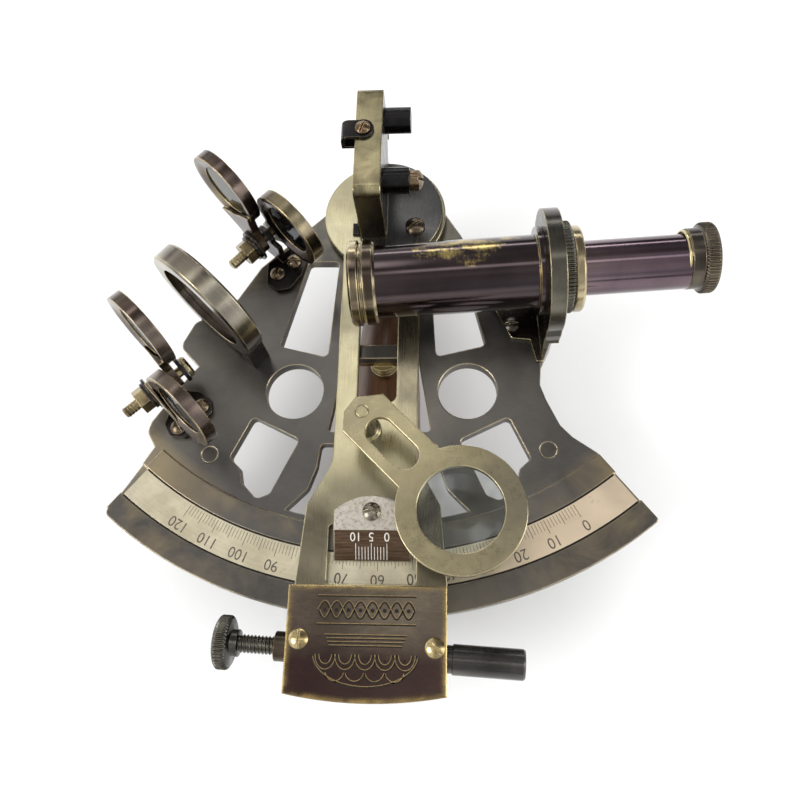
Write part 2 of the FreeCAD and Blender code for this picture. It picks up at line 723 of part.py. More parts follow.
def make_shade_ring(shade, ring):
    """A glass in a lugged ring; in the ring's frame +Z is the bolt and +Y runs to the disc."""
    name = "%s_%s" % (shade["tag"], ring["key"])
    label = "%s_shade_%s" % (shade["tag"], ring["key"])
    bolt_dir = heading(shade["heading"])
    lean = math.radians(ring["lean"])
    side_step = [math.sin(lean) * value for value in heading(shade["heading"] - 90)]
    to_disc = along(side_step, UP, math.cos(lean))
    ring_rot = axes(bolt_dir, to_disc)
    ring_pos = along(shade["origin"], bolt_dir, ring["station"])

    # the disc stands a few degrees off square to the bolt where the ring has a tilt
    tilt_x, tilt_y = [math.radians(value) for value in ring["tilt"]]
    bend = Rotation(Vector(0, 0, 1), Vector(math.tan(tilt_y), -math.tan(tilt_x), 1.0))
    normal = bend.multVec(Vector(0, 0, 1))
    disc_centre = Vector(0, number(ring["link"]), ring["shift"])

    def on_disc(depth):
        return tuple(disc_centre + normal * depth)

    half_width = number(shade_ring_width) / 2.0
    lug_end = number(ring["link"]) - 6.1
    lug = mirrored([(2.85, -0.6), (3.1, 1.6), (3.9, 0.47 * lug_end), (5.5, 0.76 * lug_end),
                    (7.3, lug_end)])
    blank = fuse(name + "_blank", [
        cylinder(name + "_disc", shade_ring_rad, shade_ring_width, on_disc(-half_width), bend),
        cylinder(name + "_eye", shade_eye_rad, 2.0, (0, 0, -1.0)),
        padded(name + "_lug", lug, 2.0, (0, 0, -1.0))])
    solid = cut(name + "_ring_solid", blank, [
        cylinder(name + "_open", shade_opening_rad, 8.0, on_disc(-4.0), bend),
        cylinder(name + "_rebate", 7.6, 8.0, on_disc(-half_width + 0.9), bend),
        cone(name + "_dish", 8.7, shade_opening_rad, 0.6, on_disc(-half_width), bend),
        cylinder(name + "_bolt_hole", shade_bolt_rad + running_gap, 8.0, (0, 0, -4.0))])
    piece(label + "_ring", at(solid, ring_pos, ring_rot))

    pane = cylinder(name + "_pane", 7.57, 1.4)
    pane.Placement = (Placement(vec(ring_pos), ring_rot)
                      * Placement(Vector(*on_disc(-half_width + 0.93)), bend))
    piece(label + "_glass", pane)


def make_shade_hardware():
    """Bolts, nuts and washers; the thread shows beyond the nut."""
    bolts, nuts, washers = [], [], []
    hole = shade_bolt_rad + fit_gap
    for shade in shade_sets:
        tag, origin = shade["tag"], shade["origin"]
        bolt_dir = heading(shade["heading"])
        rot = axes(bolt_dir)
        bolt = turned(tag + "_bolt", shade_bolt_profile, along(origin, bolt_dir, bolt_start), rot)
        slot = block_in_frame(tag + "_bolt_slot", (7.0, 0.6, 2.0), corner=(-3.5, -0.3, 0),
                              pos=along(origin, bolt_dir, bolt_slot_station), rot=rot)
        bolts.append(cut(tag + "_bolt_solid", bolt, [slot]))
        nuts.append(hexagon(tag + "_nut", 5.4, 2.6, along(origin, bolt_dir, nut_station),
                            hole, rot))
        for i, (station, outer_rad, thick) in enumerate(shade_washer_table):
            washers.append(washer("%s_washer_%d" % (tag, i), hole, outer_rad, thick,
                                  along(origin, bolt_dir, station), rot))
    piece("shade_bolts", group("bolt_set", bolts))
    piece("shade_nuts", group("nut_set", nuts))
    piece("shade_washers", group("washer_set", washers))


def make_shades():
    for shade in shade_sets:
        make_shade_bracket(shade)
        for ring in shade["rings"]:
            make_shade_ring(shade, ring)
    make_shade_hardware()


# ---------------------------------------------------------------- horizon mirror
horizon_dir = heading(48.8)
horizon_centre = (-39.8, -31.9, 46.7)
half_ring = horizon_ring_width / 2.0
horizon_seat_rad = 12.6
# (radius, station from the mid plane)
horizon_ring_profile = [
    (horizon_opening_rad, -half_ring), (horizon_ring_rad - 0.5, -half_ring),
    (horizon_ring_rad, 0.5 - half_ring), (horizon_ring_rad, half_ring - 0.5),
    (horizon_ring_rad - 0.5, half_ring), (horizon_seat_rad, half_ring),
    (horizon_seat_rad, -0.9), (horizon_opening_rad, -0.9)]


def make_horizon_mirror():
    rot = axes(horizon_dir)
    piece("horizon_mirror_ring", turned("horizon_ring", horizon_ring_profile,
                                        horizon_centre, rot))
    piece("horizon_mirror_glass",
          cylinder("horizon_glass", horizon_seat_rad - 0.05, 2.2,
                   along(horizon_centre, horizon_dir, -0.87), rot))


def make_horizon_post():
    """Block under the mirror ring, hollowed to the ring's curve."""
    x, y = horizon_post_xy
    post = block_in_frame("post_block", (4.6, 12.0, 4.8), corner=(-2.3, 0, -2.4),
                          pos=(x, y, plate_top), rot=axes(horizon_dir, UP))
    saddle = cylinder("post_saddle", horizon_ring_rad + 0.02, 12.0,
                      along(horizon_centre, horizon_dir, -6.0), axes(horizon_dir))
    tap = cylinder("post_tap", close_hole, 4.0, (x, y, plate_top - 0.5))
    piece("horizon_mirror_post", cut("post_solid", post, [saddle, tap]))


# ---------------------------------------------------------------- telescope
scope_dir = heading(3.6)
scope_start = (0.0, -27.75, telescope_height)
scope_rot = axes(scope_dir, UP)      # local +Z along the telescope, local +Y up
cell_bore = tube_rad + fit_gap
cell_rim = objective_cell_rad - 0.1
draw_bore = draw_tube_rad + 0.09
draw_outer = draw_tube_rad + 0.02
# (radius, station towards the eyepiece)
scope_profiles = {
    "objective_cell": [
        (7.3, -6.1), (objective_cell_rad - 0.5, -6.1), (objective_cell_rad, -5.6),
        (objective_cell_rad, -3.9), (9.3, -3.6), (9.3, -3.0), (cell_rim, -2.7),
        (cell_rim, -0.4), (objective_cell_rad - 0.5, 0.1), (cell_bore, 0.1),
        (cell_bore, -3.0), (7.95, -3.0), (7.95, -5.0), (7.3, -5.0)],
    "objective_lens": [
        (0.0, -5.0), (3.0, -4.93), (6.0, -4.72), (7.93, -4.45), (7.93, -3.6), (6.0, -3.36),
        (3.0, -3.15), (0.0, -3.08)],
    "telescope_tube": [
        (7.6, -2.95), (tube_rad, -2.95), (tube_rad, 36.9), (10.2, 36.9), (10.2, 38.35),
        (9.0, 38.35), (9.0, 46.9), (draw_bore, 46.9), (draw_bore, 43.5), (7.6, 43.5)],
    "telescope_lock_ring": [
        (9.04, 42.1), (10.3, 42.1), (10.6, 42.4), (10.6, 44.4), (10.3, 44.65), (9.04, 44.65)],
    "focus_collar": [
        (9.03, 44.7), (9.75, 44.7), (9.9, 45.0), (9.9, 46.5), (9.6, 46.9), (9.03, 46.9)],
    "draw_tube": [
        (5.45, 18.0), (draw_outer, 18.0), (draw_outer, 71.0), (5.45, 71.0)],
    "eyepiece_cap": [
        (5.0, 66.0), (5.43, 66.0), (5.43, 71.02), (6.31, 71.02), (6.31, 69.7), (6.6, 69.7),
        (6.75, 69.85), (6.75, 70.75), (6.95, 70.95), (6.95, 73.7), (7.7, 73.9), (8.1, 74.3),
        (8.1, 76.5), (7.7, 77.0), (4.4, 77.0), (3.4, 75.2), (3.4, 74.6), (5.0, 74.6)],
    "eyepiece_lens": [
        (0.0, 72.0), (2.5, 72.1), (4.96, 72.5), (4.96, 73.9), (2.5, 74.35), (0.0, 74.5)],
}

# bracket: neck outline in the telescope's frame, (across, up) from its axis
holder_neck = [(-13.4, 2.0), (-14.0, -6.0), (-13.6, -9.0), (-14.1, -12.4), (-15.9, -16.2),
               (9.5, -16.2), (11.2, -8.0), (4.0, 2.0)]
holder_start = 38.4
holder_width = 3.6
holder_base_thick = 1.2
# (x, y) outlines of the bracket's base, the block beside the plate and the trimmed edge
holder_base = [(26.2, -20.6), (26.6, -25.4), (28.8, -28.2), (32.1, -35.0), (36.6, -35.4),
               (37.9, -41.2), (41.4, -41.2), (42.2, -20.6)]
holder_block = [(28.95, -20.6), (29.1, -21.9), (38.9, -39.45), (39.4, -40.45),
                (39.35, -41.2), (41.4, -41.2), (42.2, -20.6)]
holder_trim = [(42.6, -33.0), (41.7, -36.6), (40.4, -39.4), (38.9, -42.6), (47.0, -42.6),
               (47.0, -33.0)]


def make_telescope():
    for label, profile in scope_profiles.items():
        piece(label, turned(label + "_turned", profile, scope_start, scope_rot))


def make_telescope_bracket():
    ring = cylinder("holder_ring", holder_ring_rad, holder_width, (0, 0, holder_start))
    neck = padded("holder_neck", holder_neck, holder_width, (0, 0, holder_start))
    bore = cylinder("holder_bore", 9.02, 6.0, (0, 0, 37.0))
    holder = at(cut("holder_part", fuse("holder_fuse", [ring, neck]), [bore]),
                scope_start, scope_rot)
    base = padded("holder_base", holder_base, holder_base_thick, (0, 0, plate_top),
                  holes=[(x, y, loose_hole) for x, y in scope_bracket_xy],
                  fillets=[(1.0, [holder_base[0], holder_base[3]])])
    side_block = padded("holder_block", holder_block, 4.2, (0, 0, plate_under),
                        fillets=[(2.0, [(41.4, -41.2)])])
    trim = padded("holder_tail_cut", holder_trim, 10.6, (0, 0, plate_under - 1.0))
    whole = fuse("holder_whole", [holder, base, side_block])
    piece("telescope_bracket", cut("holder", whole, [trim]))


def make_bracket_screws():
    """Screws of the two shade brackets and the telescope bracket."""
    screws = [domed_screw("bracket_screw_%d" % i, (x, y, plate_top + bracket_base_thick),
                          head=(1.9, 1.2), shank=(small_screw_rad, 4.3), slot=(0.5, 0.5),
                          turn=35.0 * i + 20)
              for i, (x, y) in enumerate(index_bracket_xy + horizon_bracket_xy)] \
        if False else bracket_screw_row("bracket_screw", index_bracket_xy + horizon_bracket_xy,
                                        bracket_base_thick, 4.3, 20.0, 35.0)
    screws += bracket_screw_row("scope_screw", scope_bracket_xy, holder_base_thick, 4.1,
                                0.0, 70.0)
    piece("bracket_screws", group("bracket_screw_set", screws))


def bracket_screw_row(prefix, centres, base_thick, shank_length, first_turn, turn_step):
    return [domed_screw("%s_%d" % (prefix, i), (x, y, plate_top + base_thick),
                        head=(1.9, 1.2), shank=(small_screw_rad, shank_length),
                        slot=(0.5, 0.5), turn=first_turn + turn_step * i)
            for i, (x, y) in enumerate(centres)]


# ---------------------------------------------------------------- index arm
magnifier_xy = (-2.35, -59.45)
vernier_screw_xy = (-0.6, -79.4)
mirror_foot_xy = [(8.0, -4.8), (3.6, 9.2)]
# (distance from the arm's centre line, y)
arm_outline = mirrored([(arm_half_width, 2.0), (arm_half_width, -67.5), (15.4, -77.6),
                        (16.9, -95.0), (16.9, -103.0)], arm_offset)
arm_slot = rectangle((-5.35, 4.15), (-17.5, -52.3))
arm_window = rectangle((arm_offset - 10.0, arm_offset + 10.0), (-82.0, -95.2))
magnifier_spigot_rad = 1.5

vernier_half_width = 8.6
vernier_thick = 1.8
# (y, z) section of the edge brought down to the scale
vernier_nose = [(-82.9, 34.7), (-89.9, 31.5), (-89.9, 30.78), (-82.9, 30.78)]


def make_index_arm():
    blade = padded("arm_blade", arm_outline, arm_thick, (0, 0, arm_under),
                   fillets=[(9.0, [arm_outline[1], arm_outline[8]])])
    head = cylinder("arm_head", arm_head_rad, arm_thick, (0, 0, arm_under))
    solid = fuse("arm_fuse", [blade, head])
    tool_pos = (0, 0, arm_tool_base)
    tools = [
        padded("arm_slot", arm_slot, through_length, tool_pos, fillets=[(1.6, arm_slot)]),
        padded("arm_window", arm_window, through_length, tool_pos, fillets=[(0.8, arm_window)]),
        cylinder("arm_pin_hole", pivot_pin_rad + fit_gap, through_length, tool_pos),
        cylinder("arm_pin_seat", pin_head_rad + 0.02, through_length, (0, 0, pin_head_base))]
    tools += drills("arm_post_hole", [magnifier_xy], magnifier_spigot_rad + fit_gap,
                    through_length, arm_tool_base)
    tools += drills("arm_screw_hole", [vernier_screw_xy] + mirror_foot_xy, close_hole,
                    through_length, arm_tool_base)
    piece("index_arm", cut("arm", solid, tools))


def make_vernier_plate():
    """Arched plate at the arm's window, with a bevelled edge down at the scale."""
    left = arm_offset - vernier_half_width
    right = arm_offset + vernier_half_width
    arch = common("vernier_arch",
                  span("vernier_block", (left, right), (-83.6, -75.7),
                       (arm_top, arm_top + vernier_thick)),
                  cylinder("vernier_arch_disc", 12.6, 4.0, (arm_offset, -88.3, arm_top)))
    nose = padded("vernier_nose", vernier_nose, 2 * vernier_half_width, (left, 0, 0), IN_YZ)
    hole = cylinder("vernier_hole", loose_hole, 6.0, vernier_screw_xy + (31.5,))
    piece("vernier_plate", cut("vernier", fuse("vernier_fuse", [arch, nose]), [hole]))


# ---------------------------------------------------------------- tangent drive
tangent_dir = heading(-3.0)
tangent_y = -109.8
tangent_centre = (0.0, tangent_y, tangent_axis_height)
tangent_rot = axes(tangent_dir)
cover_left = arm_offset - cover_half_width
cover_right = arm_offset + cover_half_width
cover_under = 37.5
cover_top = cover_under + cover_thick
cover_screws_xy = [(-14.6, -107.5), (14.0, -108.8)]
box_cavity = rectangle((-11.0, 11.0), (-104.9, -115.6))
# (radius, station towards +X from the arm's tongue)
tangent_profiles = {
    "tangent_screw": [
        (0.0, -33.5), (4.9, -33.5), (tangent_knob_rad, -33.0), (tangent_knob_rad, -30.6),
        (4.9, -30.1), (2.9, -30.1), (2.9, -28.6), (thread_rad, -28.4), (thread_rad, -4.6),
        (1.2, -4.4), (1.2, -3.15), (0.0, -3.15)],
    "tangent_pad": [
        (0.0, -2.24), (2.2, -2.24), (2.4, -2.5), (2.4, -4.3), (1.26, -4.3), (1.26, -3.1),
        (0.0, -3.1)],
    "tangent_plunger": [
        (0.0, 2.24), (2.2, 2.24), (2.42, 2.5), (2.42, 13.0), (1.2, 13.0), (1.2, 19.0),
        (0.0, 19.0)],
    "spring_tube": [
        (2.5, 6.0), (2.9, 6.0), (2.9, 17.6), (3.2, 17.6), (3.2, 32.4), (2.9, 32.8),
        (0.0, 32.8), (0.0, 31.2), (2.5, 31.2)],
}
spring_pitch = 1.75
spring_length = 17.2
spring_rad = 1.95
spring_wire_rad = 0.32
spring_start = 13.5
spring_slope = 0.1428      # rise per unit of run of the helix


def tangent_cylinder(name, radius, length, station):
    return cylinder(name, radius, length, along(tangent_centre, tangent_dir, station),
                    tangent_rot)


def make_tangent_box():
    x_range = (cover_left + 0.15, cover_right - 0.15)
    box = fuse("box_fuse", [
        span("box_top", x_range, (-118.0, -96.5), (arm_top, cover_under)),
        span("box_low", x_range, (-118.0, -103.25), (29.2, 33.5))])
    boss = tangent_cylinder("box_boss", 3.15, 6.0, -20.5)
    tools = [padded("box_cavity", box_cavity, 12.0, (0, 0, 28.0), fillets=[(1.5, box_cavity)]),
             tangent_cylinder("box_thread", thread_rad + 0.06, 20.0, -25.0),
             tangent_cylinder("box_tube_bore", 2.92, 20.0, 5.0)]
    tools += drills("box_cover_hole", cover_screws_xy, close_hole, 3.0, 36.68)
    solid = fuse("box_with_boss", [box, boss])
    piece("tangent_box", cut("tangent_housing", solid, tools))


def make_tangent_cover():
    plan = common("cover_plan",
                  span("cover_block", (cover_left, cover_right), (-120.2, -96.3),
                       (cover_under, cover_top)),
                  cylinder("cover_arc", 91.0, 3.0, (arm_offset, -28.9, 37.0)))
    holes = drills("cover_hole", cover_screws_xy, loose_hole, 4.0, 36.0)
    piece("tangent_cover", cut("cover", plan, holes))


def make_tangent_turnings():
    for label, profile in tangent_profiles.items():
        piece(label, turned(label + "_turned", profile, tangent_centre, tangent_rot))


def make_tangent_spring():
    """Coil spring between the plunger's shoulder and the tube's closed end."""
    helix = Part.makeHelix(spring_pitch, spring_length, spring_rad)
    section = Part.Wire([Part.makeCircle(spring_wire_rad, Vector(spring_rad, 0, 0),
                                         Vector(0, 1, spring_slope))])
    spring = doc.addObject("Part::Feature", "tangent_spring_coil")
    spring.Shape = Part.Wire(helix.Edges).makePipeShell([section], True, True)
    start = along(tangent_centre, tangent_dir, spring_start)
    spring.Placement = Placement(vec(start), tangent_rot)
    piece("tangent_spring", spring)


# ---------------------------------------------------------------- clamp under the limb
clamp_screw_y = -99.6
# (radius, height)
clamp_screw_profile = [
    (0.0, 11.0), (5.6, 11.0), (6.4, 11.8), (6.4, 15.0), (5.6, 15.8), (3.2, 15.8), (3.2, 18.6),
    (thread_rad, 18.8), (thread_rad, 25.6), (0.0, 25.6)]


def make_clamp():
    solid = fuse("clamp_fuse", [
        span("clamp_jaw", (-7.0, 7.0), (-114.0, -96.6), (21.6, 26.9)),
        span("clamp_riser", (-7.0, 7.0), (-114.0, -102.75), (26.0, 28.9)),
        cylinder("tongue", 2.2, 8.4, (0, tangent_y, 28.0))])
    tools = [cylinder("clamp_tap", thread_rad + running_gap, 8.0, (0, clamp_screw_y, 20.0)),
             span("shoe_seat", (-4.6, 4.6), (-102.1, -97.2), (25.7, 28.0))]
    piece("clamp_block", cut("clamp", solid, tools))
    piece("clamp_shoe", span("shoe", (-4.5, 4.5), (-102.0, -97.3), (26.0, 26.93)))
    piece("clamp_screw", turned("clamp_knob", clamp_screw_profile, (0, clamp_screw_y, 0)))


# ---------------------------------------------------------------- magnifier
magnifier_deg = -45.0
magnifier_reach = 30.73
magnifier_pivot_rad = 1.4
magnifier_post_top = magnifier_height + magnifier_thick + 0.12
# (radius, height)
magnifier_post_profile = [
    (0.0, arm_under + 0.1), (magnifier_spigot_rad, arm_under + 0.1),
    (magnifier_spigot_rad, arm_top), (3.2, arm_top), (3.2, arm_top + 1.0),
    (2.4, arm_top + 1.4), (2.4, magnifier_height), (magnifier_pivot_rad, magnifier_height),
    (magnifier_pivot_rad, magnifier_post_top), (0.0, magnifier_post_top)]
# (x, y) with the pivot at the origin and the ring towards +X
magnifier_bar = [(0.3, -6.1), (-2.8, -2.8), (-3.5, 1.2), (0.3, 6.1), (20.5, 6.1), (20.5, -6.1)]
# slot with round ends at two stations along the bar
bar_slot_rad = 3.25
bar_slot_x = (6.2, 13.8)
bar_slot_y = -0.3
lens_rad = magnifier_opening_rad - 0.03
# (radius, height above the top of the post's thick part)
magnifier_lens_profile = [
    (0.0, -0.6), (4.5, -0.35), (8.0, 0.15), (lens_rad, 0.5), (lens_rad, 1.2), (8.0, 1.55),
    (4.5, 2.05), (0.0, 2.3)]


def make_magnifier_post():
    piece("magnifier_post", turned("mag_post", magnifier_post_profile, magnifier_xy + (0,)))


def make_magnifier_arm():
    bar = padded("mag_bar", magnifier_bar, magnifier_thick)
    ring = cylinder("mag_ring", magnifier_ring_rad, magnifier_thick, (magnifier_reach, 0, 0))
    tools = drills("mag_slot_end", [(x, bar_slot_y) for x in bar_slot_x], bar_slot_rad,
                   4.0, -1.0)
    tools += [block("mag_slot_middle", (bar_slot_x[1] - bar_slot_x[0], 2 * bar_slot_rad, 4.0),
                    (bar_slot_x[0], bar_slot_y - bar_slot_rad, -1.0)),
              cylinder("mag_eye", magnifier_opening_rad, 4.0, (magnifier_reach, 0, -1.0)),
              cylinder("mag_pivot_hole", magnifier_pivot_rad + running_gap, 4.0, (0, 0, -1.0))]
    solid = cut("mag_arm_solid", fuse("mag_fuse", [bar, ring]), tools)
    at(solid, magnifier_xy + (magnifier_height + 0.05,),
       Rotation(Vector(0, 0, 1), magnifier_deg))
    piece("magnifier_arm", solid)


def make_magnifier_lens():
    centre = along(magnifier_xy + (magnifier_height,), heading(magnifier_deg), magnifier_reach)
    piece("magnifier_lens", turned("mag_lens", magnifier_lens_profile, centre))


# ---------------------------------------------------------------- index mirror
mirror_left = -5.8
mirror_low_y = -8.0
mirror_high_y = 22.7
mirror_foot_thick = 1.5
barrels_yz = [(17.3, 48.5), (-0.7, 48.5)]
barrel_bores = (5.0, 9.0)
barrel_start = 0.72
barrel_length = 6.6
adjust_bore_rad = 1.56
clip_xy = (-3.9, 9.8)
clip_thick = 0.7
# (y, z) outlines
mirror_back = [
    (mirror_low_y + 1.25, arm_top), (mirror_low_y + 1.25, mirror_top - 1.25),
    (mirror_high_y - 1.25, mirror_top - 1.25), (mirror_high_y - 1.25, 43.0),
    (15.0, 36.0), (12.0, arm_top)]
strip_outer = [(mirror_low_y, arm_top + 1.55), (mirror_low_y, mirror_top),
               (mirror_high_y, mirror_top), (mirror_high_y, arm_top + 3.1)]
strip_inner = [
    (mirror_low_y + 1.2, arm_top + 1.0), (mirror_low_y + 1.2, mirror_top - 1.2),
    (mirror_high_y - 1.2, mirror_top - 1.2), (mirror_high_y - 1.2, arm_top + 1.0)]


def make_mirror_bracket():
    """Part-round foot with an upright back plate."""
    foot = common("mirror_foot",
                  cylinder("mirror_foot_disc", 15.0, mirror_foot_thick, (0, 0, arm_top)),
                  span("mirror_foot_side", (-5.6, 15.2), (-15.2, 15.2),
                       (arm_top, arm_top + mirror_foot_thick)))
    upright = padded("mirror_back", mirror_back, 2.6, (-1.9, 0, 0), IN_YZ)
    tools = [cylinder("mirror_back_tap_%d" % i, adjust_bore_rad, 6.0, (-3.0, y, z), ALONG_X)
             for i, (y, z) in enumerate(barrels_yz)]
    tools += drills("mirror_foot_hole", mirror_foot_xy, loose_hole, 6.0, arm_top - 2.0)
    solid = fuse("mirror_bracket_fuse", [foot, upright])
    piece("index_mirror_bracket", cut("mirror_bracket", solid, tools))


def make_mirror_frame():
    """Strip bent round the mirror's two sides and top."""
    outer = padded("strip_outer", strip_outer, 6.5, (mirror_left, 0, 0), IN_YZ,
                   fillets=[(2.4, [strip_outer[1]]), (1.6, [strip_outer[2]])])
    inner = padded("strip_inner", strip_inner, 9.0, (mirror_left - 1.0, 0, 0), IN_YZ)
    hole = cylinder("strip_hole", close_hole, 4.0, clip_xy + (mirror_top - 2.5,))
    piece("index_mirror_frame", cut("mirror_strip", outer, [inner, hole]))


def make_mirror_glass():
    piece("index_mirror_glass",
          span("mirror_pane", (-5.2, -2.0), (mirror_low_y + 1.3, mirror_high_y - 1.3),
               (arm_top + 3.2, mirror_top - 1.75)))


def clip_bend(radius, angles):
    """(x, z) points on the upper clip's bend, angles turned from +Z towards -X."""
    centre_x, centre_z = -7.5, number(mirror_top) - 1.2
    return [(centre_x - radius * math.sin(math.radians(a)),
             centre_z + radius * math.cos(math.radians(a))) for a in angles]


def make_mirror_clips():
    top = number(mirror_top)
    angles = (0, 22.5, 45, 67.5, 90)
    path = ([(clip_xy[0], top + clip_thick)] + clip_bend(1.9, angles)
            + [(-9.4, top - 3.6), (-5.25, top - 3.6), (-5.25, top - 2.9), (-8.7, top - 2.9)]
            + clip_bend(1.2, angles[::-1]) + [(clip_xy[0], top)])
    strap = padded("clip_strap", path, 5.0, (0, 12.3, 0), axes((0, -1, 0), UP))
    eye = cylinder("clip_eye", 2.65, clip_thick, clip_xy + (mirror_top,))
    upper = cut("clip_upper", fuse("clip_upper_fuse", [eye, strap]), [
        cylinder("clip_hole", loose_hole, 3.0, clip_xy + (mirror_top - 1.0,)),
        span("clip_relief", (-6.9, -5.82), (7.0, 12.6), (mirror_top - 2.89, mirror_top - 0.02))])
    y_range = (-6.2, -3.0)
    lower = fuse("clip_lower", [
        span("clip_low_foot", (-8.2, -5.9), y_range, (arm_top, arm_top + 0.8)),
        span("clip_low_riser", (-6.6, -5.9), y_range, (arm_top, arm_top + 4.6)),
        span("clip_low_lip", (-5.95, -5.25), y_range, (arm_top + 1.6, arm_top + 4.6))])
    piece("mirror_clips", group("clips", [upper, lower]))


def make_mirror_foot_screws():
    screws = [domed_screw("foot_screw_%d" % i, (x, y, arm_top + mirror_foot_thick),
                          head=(2.5, 1.6), shank=(small_screw_rad, 3.2), slot=(0.6, 0.8),
                          turn=35.0 + 60 * i)
              for i, (x, y) in enumerate(mirror_foot_xy)]
    piece("mirror_foot_screws", group("foot_screws", screws))


def make_mirror_adjusters():
    """Two barrels on the back plate, one of them bored through for a screw."""
    barrels = []
    for i, ((y, z), bore_length) in enumerate(zip(barrels_yz, barrel_bores)):
        body = cylinder("barrel_body_%d" % i, 3.2, barrel_length, (barrel_start, y, z), ALONG_X)
        bore = cylinder("barrel_bore_%d" % i, adjust_bore_rad, bore_length, (0.0, y, z),
                        ALONG_X)
        barrels.append(cut("barrel_%d" % i, body, [bore]))
    piece("mirror_adjust_barrels", group("barrel_set", barrels))
    screw_x = barrel_start + barrel_length + 0.04
    piece("mirror_adjust_screw",
          domed_screw("adjust_screw", (screw_x,) + barrels_yz[1], head=(2.5, 3.3),
                      shank=(1.5, 6.4), slot=(0.7, 1.3), rot=ALONG_X, turn=25.0))


def make_arm_slotted_screws():
    """Screws of the vernier plate, the tangent cover and the mirror's upper clip."""
    # name, place of the head's underside, head radius, slot angle
    table = [
        ("vernier_screw", vernier_screw_xy + (arm_top + vernier_thick,), 2.1, 8.0),
        ("cover_screw_0", cover_screws_xy[0] + (cover_top,), 2.1, 88.0),
        ("cover_screw_1", cover_screws_xy[1] + (cover_top,), 2.1, -38.0),
        ("clip_screw", clip_xy + (mirror_top + clip_thick,), 1.85, 68.0)]
    screws = [domed_screw(name, pos, head=(head_rad, 1.2), shank=(small_screw_rad, 2.3),
                          slot=(0.55, 0.6), turn=turn)
              for name, pos, head_rad, turn in table]
    piece("arm_slotted_screws", group("slotted_set", screws))


# ---------------------------------------------------------------- build and export
for make in (make_frame_plate, make_arc_scale, make_front_feet, make_pivot_cap, make_pivot,
             make_handle_grip, make_handle_pillars, make_handle_screws,
             make_frame_back_screws, make_shades, make_horizon_mirror, make_horizon_post,
             make_telescope, make_telescope_bracket, make_bracket_screws, make_index_arm,
             make_vernier_plate, make_tangent_box, make_tangent_cover,
             make_tangent_turnings, make_tangent_spring, make_arm_slotted_screws,
             make_clamp, make_magnifier_post, make_magnifier_arm, make_magnifier_lens,
             make_mirror_bracket, make_mirror_frame, make_mirror_glass, make_mirror_clips,
             make_mirror_foot_screws, make_mirror_adjusters):
    make()

doc.recompute()
failed = [obj.Name for obj in doc.Objects if "Invalid" in obj.State or "Error" in obj.State]
if failed:
    raise RuntimeError("failed objects: " + ", ".join(failed))
for obj in pieces:
    if obj.Shape.isNull() or not obj.Shape.isValid() or not obj.Shape.Solids:
        raise RuntimeError("bad shape: " + obj.Label)

os.makedirs("parts", exist_ok=True)
for obj in pieces:
    obj.Shape.exportStep("parts/%s.step" % obj.Label)
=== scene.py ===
import bpy
import json
import math
import random
from mathutils import Matrix, Vector


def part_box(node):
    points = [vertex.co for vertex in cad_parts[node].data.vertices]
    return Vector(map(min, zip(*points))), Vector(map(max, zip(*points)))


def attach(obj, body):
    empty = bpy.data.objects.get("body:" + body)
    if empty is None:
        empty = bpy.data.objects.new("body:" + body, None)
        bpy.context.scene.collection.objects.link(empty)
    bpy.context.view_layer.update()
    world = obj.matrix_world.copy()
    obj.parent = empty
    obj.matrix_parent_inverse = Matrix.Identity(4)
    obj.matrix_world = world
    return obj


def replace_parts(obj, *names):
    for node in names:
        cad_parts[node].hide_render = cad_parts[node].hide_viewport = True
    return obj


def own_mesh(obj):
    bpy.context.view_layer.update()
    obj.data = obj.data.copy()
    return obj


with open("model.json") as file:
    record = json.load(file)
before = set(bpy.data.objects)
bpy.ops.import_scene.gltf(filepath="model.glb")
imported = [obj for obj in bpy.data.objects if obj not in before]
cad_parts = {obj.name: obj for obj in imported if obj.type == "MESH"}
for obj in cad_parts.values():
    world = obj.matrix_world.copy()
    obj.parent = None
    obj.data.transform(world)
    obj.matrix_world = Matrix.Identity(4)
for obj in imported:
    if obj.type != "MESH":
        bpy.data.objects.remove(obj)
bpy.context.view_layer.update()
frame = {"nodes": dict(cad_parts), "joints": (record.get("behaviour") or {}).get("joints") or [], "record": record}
NODES = frame["nodes"]
REC = frame["record"]
JOINTS = {j["name"]: j for j in frame["joints"]}
scene = bpy.context.scene
MM = 0.001
rng = random.Random(7)


